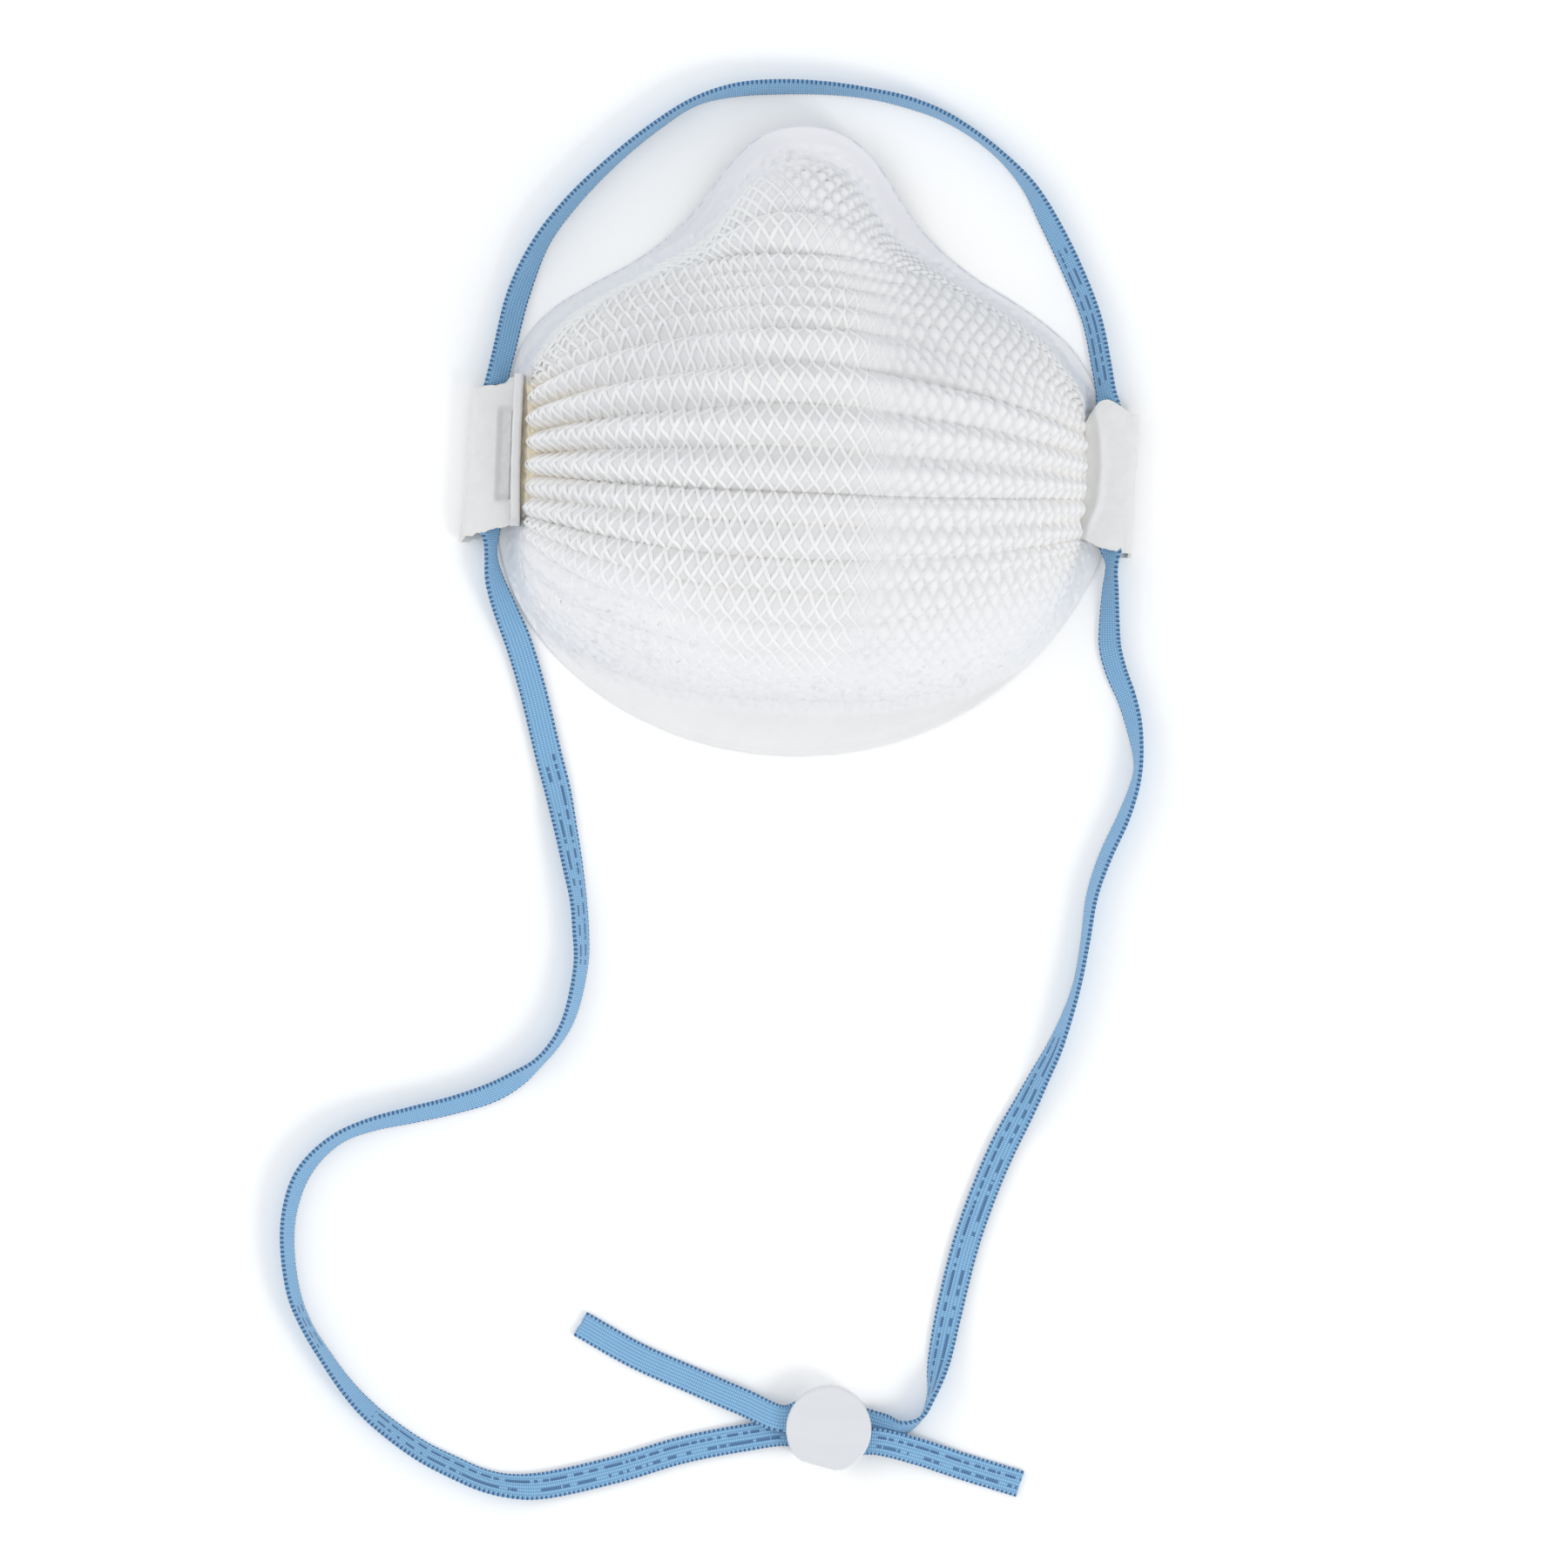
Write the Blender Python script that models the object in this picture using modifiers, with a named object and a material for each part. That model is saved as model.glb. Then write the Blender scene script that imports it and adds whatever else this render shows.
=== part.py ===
"""Cup-shaped disposable dust mask with a corrugated shell, a welded face flange,
two folded strap tabs, one long woven strap and a sliding disc buckle.

Frame: +X to the wearer's left tab side of the plan view, +Y towards the nose,
+Z out of the face. The mask rests on its flange at z = 0. All named sizes below
are millimetres; everything is built in metres.
"""
import math

import bmesh
import bpy
import numpy as np
from mathutils import Vector

MM = 0.001

# ------------------------------------------------------------------ sizes, mm
CUP_HALF_WIDTH = 64.6  # corrugated body, centre to the tab edge
CUP_DEPTH = 47.0  # smooth dome above the rim line, at its highest
RIM_Z = 1.5  # the shell's outer edge stands this high on the flange line
NOSE_RISE = 9.6  # how far the nose part of the rim lifts off the table
TAB_EDGE_LOW, TAB_EDGE_HIGH = -22.5, 12.5  # the body's short side edges, in y

# Body outline over the nose, half of it: x, y.
TOP_RIM = [(0, 64.5), (5, 63.9), (9, 62.0), (13, 58.0), (17, 52.3), (21, 47.3), (26, 43.6),
           (31, 40.8), (37, 37.2), (45.8, 32.0), (54.7, 25.8), (60.1, 20.0), (63.0, 16.0), (64.6, 12.5)]
# Flange outline over the nose and cheek, half of it: x, y. Below it the outline is an ellipse.
FLANGE_TOP = [(0, 72.1), (5, 71.5), (10, 69.7), (15, 65.7), (19, 60.6), (23, 54.6), (28, 48.6), (34, 43.2),
              (41, 38.4), (48, 34.4), (55, 30.0), (61, 24.8), (65.5, 18.2), (68.5, 10.0), (70.2, 0.0)]
CHIN_CENTRE_Y, CHIN_HALF_X, CHIN_HALF_Y = -10.0, 71.2, 62.2
FLANGE_THICK = 1.2
FLANGE_GAP = 0.7  # between the flange's inner edge and the shell's rim
FLANGE_STEPS = 96

# Side profile at the middle of the mask: y, height over the line between the two rims.
SIDE_PROFILE = [(-60, 0), (-59.2, 5.0), (-57.5, 11.5), (-54.5, 18.6), (-50, 25.6), (-43, 32.6), (-34, 38.4),
                (-22, 43.2), (-8, 46.2), (2, 46.9), (12, 45.9), (20, 43.0), (27, 38.4), (33, 32.6), (38, 27.2),
                (42.5, 23.0), (48, 19.0), (54, 14.0), (60, 7.0), (64.5, 0)]

# Creases between the ridges, from nose to chin: y at the middle, y at the tab edge,
# how full the line is, and its share of the chin rim's own shape.
CREASES = [(42.0, 11.8, 2.7, 0), (37.9, 11.3, 2.8, 0), (34.6, 10.6, 2.8, 0), (30.0, 9.8, 2.7, 0),
           (25.4, 8.2, 2.4, 0), (17.1, 4.3, 2.1, 0), (7.2, -0.7, 2.0, 0), (-2.9, -5.5, 2.0, 0),
           (-13.5, -10.5, 2.1, 0), (-19.9, -15.2, 2.1, 0), (-28.5, -19.6, 2.1, 0), (-35.9, -20.8, 2.2, 0.15),
           (-43.3, -21.5, 2.2, 0.4), (-49.9, -22.0, 2.2, 0.7)]
RIDGE_SHARE = 0.16  # ridge height either way, as a share of the ridge's own width
RIDGE_MOST = 1.75

COLUMNS = 18
# Laminate, outside in: name, thickness, gap to the next one.
LAYERS = [("outer_mesh_shell", 0.7, 0.5), ("cover_web", 0.4, 0.55), ("filter_media", 0.9, 0.6),
          ("inner_lining", 0.4, 0.45)]
CUSHION_THICK, CUSHION_HALF_X = 3.2, 27.0

STRAP_WIDTH, STRAP_THICK = 6.1, 1.0
TAB_FLOOR, TAB_PLY, TAB_TUNNEL = 1.5, 0.8, 2.9  # height of its underside, ply, inside height
TAB_OUTER_X, TAB_INNER_X = 77.5, 65.9
TAB_LOW_Y, TAB_HIGH_Y = -23.6, 10.6

BUCKLE_AT = (15.7, -225.8)
BUCKLE_TURN = -13.1  # degrees, the strap direction through the buckle
BUCKLE_R, BUCKLE_FLAT = 9.8, 8.9
BUCKLE_FLOOR, BUCKLE_WALL_TOP, BUCKLE_TOP = 1.2, 4.8, 7.0
BUCKLE_CHANNEL_HALF = 7.1

# ------------------------------------------------------------------ scene
for old in list(bpy.data.objects):
    bpy.data.objects.remove(old, do_unlink=True)
parts = bpy.data.collections.new("disposable_dust_mask")
cutters = bpy.data.collections.new("cutters")
bpy.context.scene.collection.children.link(parts)
bpy.context.scene.collection.children.link(cutters)


def material(name, colour, roughness, metallic=0.0):
    m = bpy.data.materials.new(name)
    m.use_nodes = True
    shader = m.node_tree.nodes["Principled BSDF"]
    shader.inputs["Base Color"].default_value = (*colour, 1.0)
    shader.inputs["Roughness"].default_value = roughness
    shader.inputs["Metallic"].default_value = metallic
    m.diffuse_color = (*colour, 1.0)
    return m


NETTING = material("white_netting", (0.86, 0.86, 0.85), 0.45)
WEB = material("white_nonwoven", (0.84, 0.84, 0.85), 0.9)
FILTER = material("filter_felt", (0.80, 0.81, 0.82), 0.95)
FLANGE = material("flange_nonwoven", (0.78, 0.79, 0.82), 0.7)
FOAM = material("nose_foam", (0.70, 0.71, 0.72), 0.95)
TAB = material("tab_laminate", (0.85, 0.85, 0.84), 0.6)
STRAP = material("blue_woven_elastic", (0.20, 0.42, 0.70), 0.85)
PLASTIC = material("white_plastic", (0.78, 0.80, 0.81), 0.4)


def place(obj, mat, smooth=True):
    for c in list(obj.users_collection):
        c.objects.unlink(obj)
    parts.objects.link(obj)
    obj.data.materials.clear()
    obj.data.materials.append(mat)
    if smooth and obj.type == "MESH":
        obj.data.shade_smooth()
        obj.data.set_sharp_from_angle(angle=math.radians(50))
    return obj


# ------------------------------------------------------------------ curves
def through(x, stations):
    """A smooth curve through stations of rising x, with slopes that never overshoot."""
    sx = np.array([p[0] for p in stations], float)
    sy = np.array([p[1] for p in stations], float)
    h, rise = np.diff(sx), np.diff(sy) / np.diff(sx)
    slope = np.zeros_like(sy)
    for i in range(1, len(sx) - 1):
        if rise[i - 1] * rise[i] > 0:
            w1, w2 = 2 * h[i] + h[i - 1], h[i] + 2 * h[i - 1]
            slope[i] = (w1 + w2) / (w1 / rise[i - 1] + w2 / rise[i])
    slope[0], slope[-1] = rise[0], rise[-1]
    x = np.clip(np.asarray(x, float), sx[0], sx[-1])
    i = np.clip(np.searchsorted(sx, x, side="right") - 1, 0, len(h) - 1)
    t = (x - sx[i]) / h[i]
    return ((1 + 2 * t) * (1 - t) ** 2 * sy[i] + t * (1 - t) ** 2 * h[i] * slope[i]
            + t * t * (3 - 2 * t) * sy[i + 1] + t * t * (t - 1) * h[i] * slope[i + 1])


def chin_shape(s):
    return np.clip(1 - np.abs(s) ** 2.5, 0, 1) ** 0.42


def rim_low(x):
    s = np.abs(x) / CUP_HALF_WIDTH
    return TAB_EDGE_LOW + (-60.0 - TAB_EDGE_LOW) * chin_shape(s)


def rim_high(x):
    return through(np.abs(x), TOP_RIM)


def nose_lift(x, y):
    t = np.clip((np.asarray(y, float) - 26) / 32, 0, 1)
    return NOSE_RISE * np.exp(-(np.asarray(x, float) / 23) ** 2) * t * t * (3 - 2 * t)


def dome(x, share):
    """Point of the smooth shell on the column at x, at a share of the way from chin to nose rim."""
    s = min(1.0, abs(x) / CUP_HALF_WIDTH)
    low, high = rim_low(x), rim_high(x)
    y = low + (high - low) * share
    centre = through(-60 + 124.5 * share, SIDE_PROFILE) / 46.9
    arch = max(0.0, 1 - abs(2 * share - 1) ** 2.7) ** 0.7
    mix = min(1.0, max(0.0, (s - 0.3) / 0.6))
    mix = mix * mix * (3 - 2 * mix)
    height = CUP_DEPTH * max(0.0, 1 - s ** 2.1) ** 0.66
    base = RIM_Z + nose_lift(x, high) * share ** 3
    return Vector((x, y, base + height * (centre * (1 - mix) + arch * mix)))


def outward(x, share):
    """Unit normal of the smooth shell, away from the face."""
    e, f, inside = 0.05, 0.002, CUP_HALF_WIDTH - 0.35
    x = min(inside, max(-inside, x))
    share = min(0.988, max(0.012, share))
    n = (dome(x + e, share) - dome(x - e, share)).cross(dome(x, share + f) - dome(x, share - f))
    return n.normalized()


def crease_y(k, x):
    centre, edge, full, rim_part = CREASES[k]
    s = min(1.0, abs(x) / CUP_HALF_WIDTH)
    return edge + (centre - edge) * ((1 - s ** full) * (1 - rim_part) + float(chin_shape(s)) * rim_part)


def rows_at(x):
    """(y, ridge height) of each row of the shell on one column, chin to nose."""
    low, high, last = float(rim_low(x)), float(rim_high(x)), len(CREASES) - 1
    first = crease_y(last, x)
    rows = [(low + (first - low) * f, 0.0) for f in (0, 0.05, 0.2, 0.55)]
    for k in range(last, 0, -1):
        y, above = crease_y(k, x), crease_y(k - 1, x)
        high_here = min(RIDGE_MOST, RIDGE_SHARE * (above - y)) * {13: 0.35, 12: 0.7}.get(k, 1.0)
        rows += [(y, -high_here * (0.5 if k == last else 1.0)), ((y + above) / 2, high_here)]
    y = crease_y(0, x)
    rows.append((y, -min(1.0, 0.2 * (high - y))))
    rows += [(y + (high - y) * f, g * min(1.0, 0.1 * (high - y))) for f, g in ((0.3, 0.8), (0.55, -0.2), (0.8, 0.1), (1, 0))]
    return rows


def shell_point(x, y, ridge, depth):
    low, high = float(rim_low(x)), float(rim_high(x))
    share = min(1.0, max(0.0, (y - low) / (high - low)))
    n = outward(x, share)
    # Close to the rim the layers nest sideways, so that their edges end side by side.
    edge = min(1.0, min(share, 1 - share) / 0.05)
    flat = Vector((n.x, n.y, n.z * (0.25 + 0.75 * edge)))
    p = dome(x, share) + n * ridge + flat.normalized() * -depth
    p.z = max(p.z, RIM_Z - 0.5 + float(nose_lift(x, high)) * share ** 3)
    return p


def grid_object(name, columns, rows, point, thick, mat):
    """A grid primitive laid over a surface, given its thickness inwards by Solidify."""
    bm = bmesh.new()
    bmesh.ops.create_grid(bm, x_segments=columns, y_segments=rows, size=1.0)
    for v in bm.verts:
        i, j = round((v.co.x + 1) / 2 * columns), round((v.co.y + 1) / 2 * rows)
        v.co = point(i, j) * MM
    bmesh.ops.recalc_face_normals(bm, faces=bm.faces)
    mesh = bpy.data.meshes.new(name)
    bm.to_mesh(mesh)
    bm.free()
    obj = bpy.data.objects.new(name, mesh)
    parts.objects.link(obj)
    wall = obj.modifiers.new("thickness", "SOLIDIFY")
    wall.thickness = thick * MM
    wall.offset = 0.0
    return place(obj, mat)


# ------------------------------------------------------------------ the laminate
COLUMN_X = [CUP_HALF_WIDTH * math.sin(math.pi / 2 * (2 * i / COLUMNS - 1)) for i in range(COLUMNS + 1)]
ROWS = [rows_at(x) for x in COLUMN_X]

depth = 0.0
for (name, thick, gap), mat in zip(LAYERS, (NETTING, WEB, FILTER, WEB)):
    middle = depth + thick / 2
    grid_object(name, COLUMNS, len(ROWS[0]) - 1,
                lambda i, j, m=middle: shell_point(COLUMN_X[i], *ROWS[i][j], m), thick, mat)
    depth += thick + gap

# Foam strip under the nose, glued to the lining.
CUSHION_ROWS = [(0.12, 0), (0.35, 0), (0.6, 0), (0.8, 0)]


def cushion_point(i, j):
    x = -CUSHION_HALF_X + 2 * CUSHION_HALF_X * i / 12
    top, bottom = float(rim_high(x)) - 1.5, crease_y(1, x)
    y = bottom + (top - bottom) * (0.02 + 0.9 * j / 4)
    return shell_point(x, y, 0.0, depth + 2.1 + CUSHION_THICK / 2)


grid_object("nose_cushion", 12, 4, cushion_point, CUSHION_THICK, FOAM)


# ------------------------------------------------------------------ the flange
def polar(outline, angles):
    """Distance from the flange's middle to a closed outline, at each angle."""
    p = np.array(outline) - (0, -8.0)
    a, r = np.arctan2(p[:, 1], p[:, 0]), np.hypot(p[:, 0], p[:, 1])
    order = np.argsort(a)
    return np.interp(angles, a[order], r[order], period=2 * math.pi)


def flange_outline():
    xs = np.linspace(0, 70.2, 141)
    top = np.stack([xs, through(xs, FLANGE_TOP)], 1)
    t = np.linspace(0, math.pi / 2, 90)
    chin = np.stack([CHIN_HALF_X * np.cos(t), CHIN_CENTRE_Y - CHIN_HALF_Y * np.sin(t)], 1)
    half = np.concatenate([top, chin])
    return np.concatenate([half, half * (-1, 1)])


def body_outline():
    s = np.sin(np.linspace(0, math.pi / 2, 120)) * CUP_HALF_WIDTH
    half = np.concatenate([np.stack([s, rim_high(s)], 1), np.stack([s, rim_low(s)], 1),
                           np.stack([np.full(20, CUP_HALF_WIDTH), np.linspace(TAB_EDGE_LOW, TAB_EDGE_HIGH, 20)], 1)])
    return np.concatenate([half, half * (-1, 1)])


angles = np.arange(FLANGE_STEPS) * 2 * math.pi / FLANGE_STEPS
angles = np.where(angles > math.pi, angles - 2 * math.pi, angles)
outer, inner = polar(flange_outline(), angles), polar(body_outline(), angles) + FLANGE_GAP
bpy.ops.mesh.primitive_torus_add(major_segments=FLANGE_STEPS, minor_segments=8, major_radius=0.06, minor_radius=0.005)
flange = bpy.context.object
flange.name = flange.data.name = "face_flange"
c, h = 0.3, FLANGE_THICK
SECTION = [(1, 0, 0.3), (1, 0, h - 0.3), (1, -c, h), (0, c, h), (0, 0, h - 0.3), (0, 0, 0.3), (0, c, 0), (1, -c, 0)]
for index, v in enumerate(flange.data.vertices):
    i, (side, shift, z) = index // 8, SECTION[index % 8]
    r = (outer[i] if side else inner[i]) + shift
    x, y = r * math.cos(angles[i]), -8.0 + r * math.sin(angles[i])
    mid = (outer[i] + inner[i]) / 2
    lift = float(nose_lift(mid * math.cos(angles[i]), -8.0 + mid * math.sin(angles[i])))
    v.co = Vector((x, y, z + lift)) * MM
place(flange, FLANGE)


# ------------------------------------------------------------------ strap tabs
def outline_curve(name, loops, half_height):
    """A flat outline, with holes, given its height by extrusion."""
    curve = bpy.data.curves.new(name, "CURVE")
    curve.dimensions, curve.fill_mode, curve.extrude = "2D", "BOTH", half_height * MM
    for loop in loops:
        spline = curve.splines.new("POLY")
        spline.points.add(len(loop) - 1)
        for p, (a, b) in zip(spline.points, loop):
            p.co = (a * MM, b * MM, 0, 1)
        spline.use_cyclic_u = True
    return bpy.data.objects.new(name, curve)


def to_mesh(obj, collection):
    """The curve as a mesh object with its caps welded on."""
    collection.objects.link(obj)
    graph = bpy.context.evaluated_depsgraph_get()
    mesh = bpy.data.meshes.new_from_object(obj.evaluated_get(graph))
    made = bpy.data.objects.new(obj.name + "_solid", mesh)
    made.matrix_world = obj.matrix_world
    bm = bmesh.new()
    bm.from_mesh(mesh)
    bmesh.ops.remove_doubles(bm, verts=bm.verts, dist=1e-6)
    bmesh.ops.recalc_face_normals(bm, faces=bm.faces)
    bm.to_mesh(mesh)
    bm.free()
    name = obj.name
    bpy.data.objects.remove(obj, do_unlink=True)
    made.name = made.data.name = name
    collection.objects.link(made)
    return made


def stadium(x0, x1, z0, z1, r, steps=4):
    """Rounded rectangle, counter-clockwise."""
    points = []
    for cx, cz, start in ((x1 - r, z1 - r, 0), (x0 + r, z1 - r, 90), (x0 + r, z0 + r, 180), (x1 - r, z0 + r, 270)):
        for k in range(steps + 1):
            a = math.radians(start + 90 * k / steps)
            points.append((cx + r * math.cos(a), cz + r * math.sin(a)))
    return points


def box(name, low, high, collection):
    bpy.ops.mesh.primitive_cube_add(size=1.0, location=[(a + b) / 2 * MM for a, b in zip(low, high)])
    obj = bpy.context.object
    obj.name = obj.data.name = name
    obj.dimensions = [(b - a) * MM for a, b in zip(low, high)]
    bpy.ops.object.transform_apply(location=False, rotation=False, scale=True)
    for c in list(obj.users_collection):
        c.objects.unlink(obj)
    collection.objects.link(obj)
    return obj


def boolean(obj, other, operation):
    m = obj.modifiers.new(operation.lower(), "BOOLEAN")
    m.operation, m.object, m.solver = operation, other, "EXACT"
    other.hide_render, other.display_type = True, "WIRE"


TAB_TOP = TAB_FLOOR + 2 * TAB_PLY + TAB_TUNNEL
TAB_MID_Y = (TAB_LOW_Y + TAB_HIGH_Y) / 2


def strap_tab(name, side):
    """A flattened loop of laminate whose tunnel runs along y. Its local y is the mask's z."""
    rim = stadium(TAB_INNER_X, TAB_OUTER_X, TAB_FLOOR, TAB_TOP, 1.5)
    hole = stadium(TAB_INNER_X + 1.4, TAB_OUTER_X - TAB_PLY, TAB_FLOOR + TAB_PLY, TAB_TOP - TAB_PLY, 1.2)
    obj = outline_curve(name, [rim, hole], (TAB_HIGH_Y - TAB_LOW_Y) / 2)
    obj.rotation_euler = (math.radians(90), 0, 0)
    obj.location = (0, TAB_MID_Y * MM, 0)
    obj = to_mesh(obj, parts)
    if side < 0:
        obj.scale = (-1, 1, 1)
        bpy.context.view_layer.objects.active = obj
        obj.select_set(True)
        bpy.ops.object.transform_apply(location=True, rotation=True, scale=True)
        obj.data.flip_normals()
        bm = bmesh.new()
        bm.from_mesh(obj.data)
        bmesh.ops.recalc_face_normals(bm, faces=bm.faces)
        bm.to_mesh(obj.data)
        bm.free()
    return place(obj, TAB, smooth=False)


left_tab = strap_tab("left_strap_tab", -1)
right_tab = strap_tab("right_strap_tab", 1)
# The left loop is closed by a sunken rectangular weld; a standing fold runs along its inner edge.
weld = box("weld_block", (-69.9, -16.2, TAB_FLOOR + 0.4), (-66.8, 5.6, TAB_TOP - 0.3), cutters)
recess = box("weld_recess", (-69.4, -15.6, TAB_FLOOR + 2.1), (-67.6, 5.0, TAB_TOP + 2), cutters)
ridge = box("standing_fold", (-67.0, TAB_LOW_Y + 0.2, TAB_FLOOR + 0.4), (-66.0, TAB_HIGH_Y + 1.8, TAB_TOP + 1.4), cutters)
boolean(left_tab, weld, "UNION")
boolean(left_tab, recess, "DIFFERENCE")
boolean(left_tab, ridge, "UNION")
curl = box("curled_edge", (66.0, TAB_LOW_Y + 0.2, TAB_FLOOR + 0.4), (67.0, TAB_HIGH_Y - 0.2, TAB_TOP + 0.8), cutters)
boolean(right_tab, curl, "UNION")

# ------------------------------------------------------------------ the strap
# Its route from the right-hand free end, through the buckle, round both tabs, and back through
# the buckle to the left-hand free end: x, y, height of its middle, roll in degrees. A roll of 0
# lies flat and 90 stands on edge.
ROUTE = [
    (60.0, -236.8, 0.7, 0), (47.0, -233.4, 0.8, 0), (36.0, -230.2, 2.4, 0), (26.6, -228.3, 3.6, 0), (20.8, -228.7, 3.5, 0),
    (15.2, -229.1, 2.4, 0), (10.6, -228.1, 2.05, 0), (6.2, -227.2, 2.0, 0), (-4.0, -229.0, 1.0, 4), (-18.0, -232.4, 0.9, 5), (-32.0, -237.2, 0.9, 5),
    (-50.0, -241.9, 1.3, 12), (-57.0, -242.1, 2.2, 32), (-63.0, -241.0, 2.5, 39), (-70.0, -238.3, 2.6, 41), (-77.2, -235.0, 2.75, 46),
    (-86.0, -229.3, 2.9, 52), (-91.1, -225.1, 3.0, 56), (-95.8, -220.1, 3.1, 63), (-100.5, -213.9, 3.15, 68), (-104.7, -207.7, 3.2, 71),
    (-108.1, -200.2, 3.15, 67), (-110.2, -187.5, 3.1, 65), (-109.6, -179.5, 3.1, 62), (-107.5, -173.0, 3.05, 60), (-104.0, -168.0, 3.1, 64),
    (-98.8, -163.6, 3.15, 67), (-91.8, -160.5, 3.1, 62), (-82.5, -157.9, 2.9, 54), (-73.0, -155.2, 2.8, 50), (-64.5, -152.0, 2.7, 45),
    (-58.8, -148.5, 2.9, 54), (-54.6, -145.0, 3.2, 72), (-50.6, -140.1, 3.2, 73), (-47.6, -133.8, 3.15, 67), (-45.5, -121.5, 3.05, 62),
    (-45.9, -114.0, 3.0, 57), (-46.7, -107.3, 3.0, 56), (-48.6, -98.3, 2.65, 43), (-50.4, -90.7, 2.3, 33), (-52.6, -82.0, 1.6, 14),
    (-54.9, -74.5, 1.3, 5), (-59.3, -59.2, 1.3, 5), (-63.0, -48.6, 1.6, 8), (-66.4, -41.0, 2.3, 28), (-69.0, -34.5, 3.1, 50),
    (-70.6, -29.3, 3.4, 52), (-71.75, -24.9, 3.8, 11), (-72.4, -21.0, 3.75, 2), (-73.25, -15.0, 3.75, 0), (-73.25, -5.5, 3.75, 0), (-73.25, 6.6, 3.75, 0),
    (-71.7, 12.0, 3.6, 2), (-69.8, 18.5, 2.8, 10), (-66.3, 31.0, 2.5, 35), (-61.5, 43.3, 3.0, 57), (-54.5, 53.3, 3.1, 65), (-45.0, 63.4, 3.2, 73),
    (-36.0, 71.2, 3.25, 77), (-27.5, 77.0, 3.25, 79), (-18.2, 80.0, 3.15, 67), (-8.0, 81.1, 3.05, 64), (3.0, 81.2, 3.15, 69), (12.4, 80.4, 3.2, 74),
    (21.0, 78.8, 3.2, 72), (29.0, 76.2, 3.2, 76), (36.3, 72.3, 3.25, 80), (43.6, 66.9, 3.25, 78), (49.8, 60.5, 3.1, 65), (54.8, 52.5, 2.7, 50),
    (60.2, 42.5, 2.6, 45), (65.3, 31.0, 2.75, 47), (68.7, 19.8, 3.1, 45), (70.4, 13.8, 3.5, 26), (71.2, 9.0, 3.75, 4), (71.5, -4.0, 3.75, 0),
    (71.5, -20.0, 3.75, 1), (71.5, -25.2, 3.8, 12), (71.4, -31.5, 3.1, 48), (71.8, -38.5, 2.8, 46), (72.7, -44.2, 2.6, 39), (74.4, -49.8, 2.65, 41),
    (76.9, -55.4, 2.85, 49), (78.8, -61.3, 3.0, 57), (80.0, -67.5, 3.2, 71), (80.3, -71.5, 3.25, 79), (79.6, -76.0, 3.2, 75), (77.3, -83.3, 3.15, 67),
    (73.7, -92.0, 3.15, 66), (71.0, -101.1, 3.2, 70), (69.8, -112.0, 3.25, 77), (68.4, -121.6, 3.25, 79), (66.2, -129.7, 3.2, 70), (63.7, -136.7, 3.0, 57),
    (60.8, -143.0, 2.7, 45), (57.8, -149.6, 2.2, 30), (53.6, -158.4, 1.3, 8), (50.4, -166.4, 1.3, 8), (47.3, -175.6, 1.2, 6), (45.1, -183.5, 1.2, 6),
    (42.0, -199.0, 1.5, 14), (40.3, -209.8, 2.3, 38), (38.9, -217.5, 3.3, 78), (36.7, -222.6, 3.3, 94), (32.4, -225.0, 2.9, 125), (28.2, -224.9, 2.2, 168),
    (24.0, -224.0, 2.05, 180), (16.6, -222.4, 2.05, 180), (11.4, -221.8, 3.2, 180), (5.4, -224.0, 3.8, 180), (-4.0, -220.7, 2.6, 180),
    (-16.0, -216.2, 0.9, 180), (-29.0, -211.1, 0.8, 180), (-42.1, -204.4, 0.7, 180)]


def smooth_route(route, per_leg):
    """Points of a smooth curve through the route's stations, as x, y, z, roll."""
    p = np.array(route, float)
    p = np.concatenate([[2 * p[0] - p[1]], p, [2 * p[-1] - p[-2]]])
    gaps = np.maximum(np.linalg.norm(np.diff(p[:, :3], axis=0), axis=1) ** 0.5, 1e-6)
    t = np.concatenate([[0], np.cumsum(gaps)])
    out = []
    for i in range(1, len(p) - 2):
        count = per_leg if i < len(p) - 3 else per_leg + 1
        for u in np.arange(count) / per_leg * (t[i + 1] - t[i]) + t[i]:
            a = [p[i + k] * (t[i + 1 + k] - u) / (t[i + 1 + k] - t[i + k]) + p[i + 1 + k] * (u - t[i + k]) / (t[i + 1 + k] - t[i + k])
                 for k in (-1, 0, 1)]
            b = [a[k] * (t[i + 1 + k] - u) / (t[i + 1 + k] - t[i - 1 + k]) + a[k + 1] * (u - t[i - 1 + k]) / (t[i + 1 + k] - t[i - 1 + k])
                 for k in (0, 1)]
            out.append(b[0] * (t[i + 1] - u) / (t[i + 1] - t[i]) + b[1] * (u - t[i]) / (t[i + 1] - t[i]))
    return np.array(out)


line = smooth_route(ROUTE, 2)
# Its lower edge never dips under the table.
lean = np.radians(line[:, 3])
line[:, 2] = np.maximum(line[:, 2], STRAP_WIDTH / 2 * np.sin(lean) + STRAP_THICK / 2 * np.abs(np.cos(lean)) + 0.12)
tangent = np.gradient(line[:, :3], axis=0)


def strap_point(i, j):
    t = Vector(tangent[i]).normalized()
    lateral = Vector((0, 0, 1)).cross(t).normalized()
    up = t.cross(lateral)
    roll = math.radians(line[i, 3])
    side = lateral * math.cos(roll) + up * math.sin(roll)
    return Vector(line[i, :3]) + side * STRAP_WIDTH * (j - 0.5)


grid_object("head_strap", len(line) - 1, 1, strap_point, STRAP_THICK, STRAP)

# ------------------------------------------------------------------ the buckle
slide_axis = bpy.data.objects.new("buckle_axis", None)
slide_axis.location = (BUCKLE_AT[0] * MM, BUCKLE_AT[1] * MM, 0)
slide_axis.rotation_euler = (0, 0, math.radians(BUCKLE_TURN))
parts.objects.link(slide_axis)
bpy.context.view_layer.update()


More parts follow.
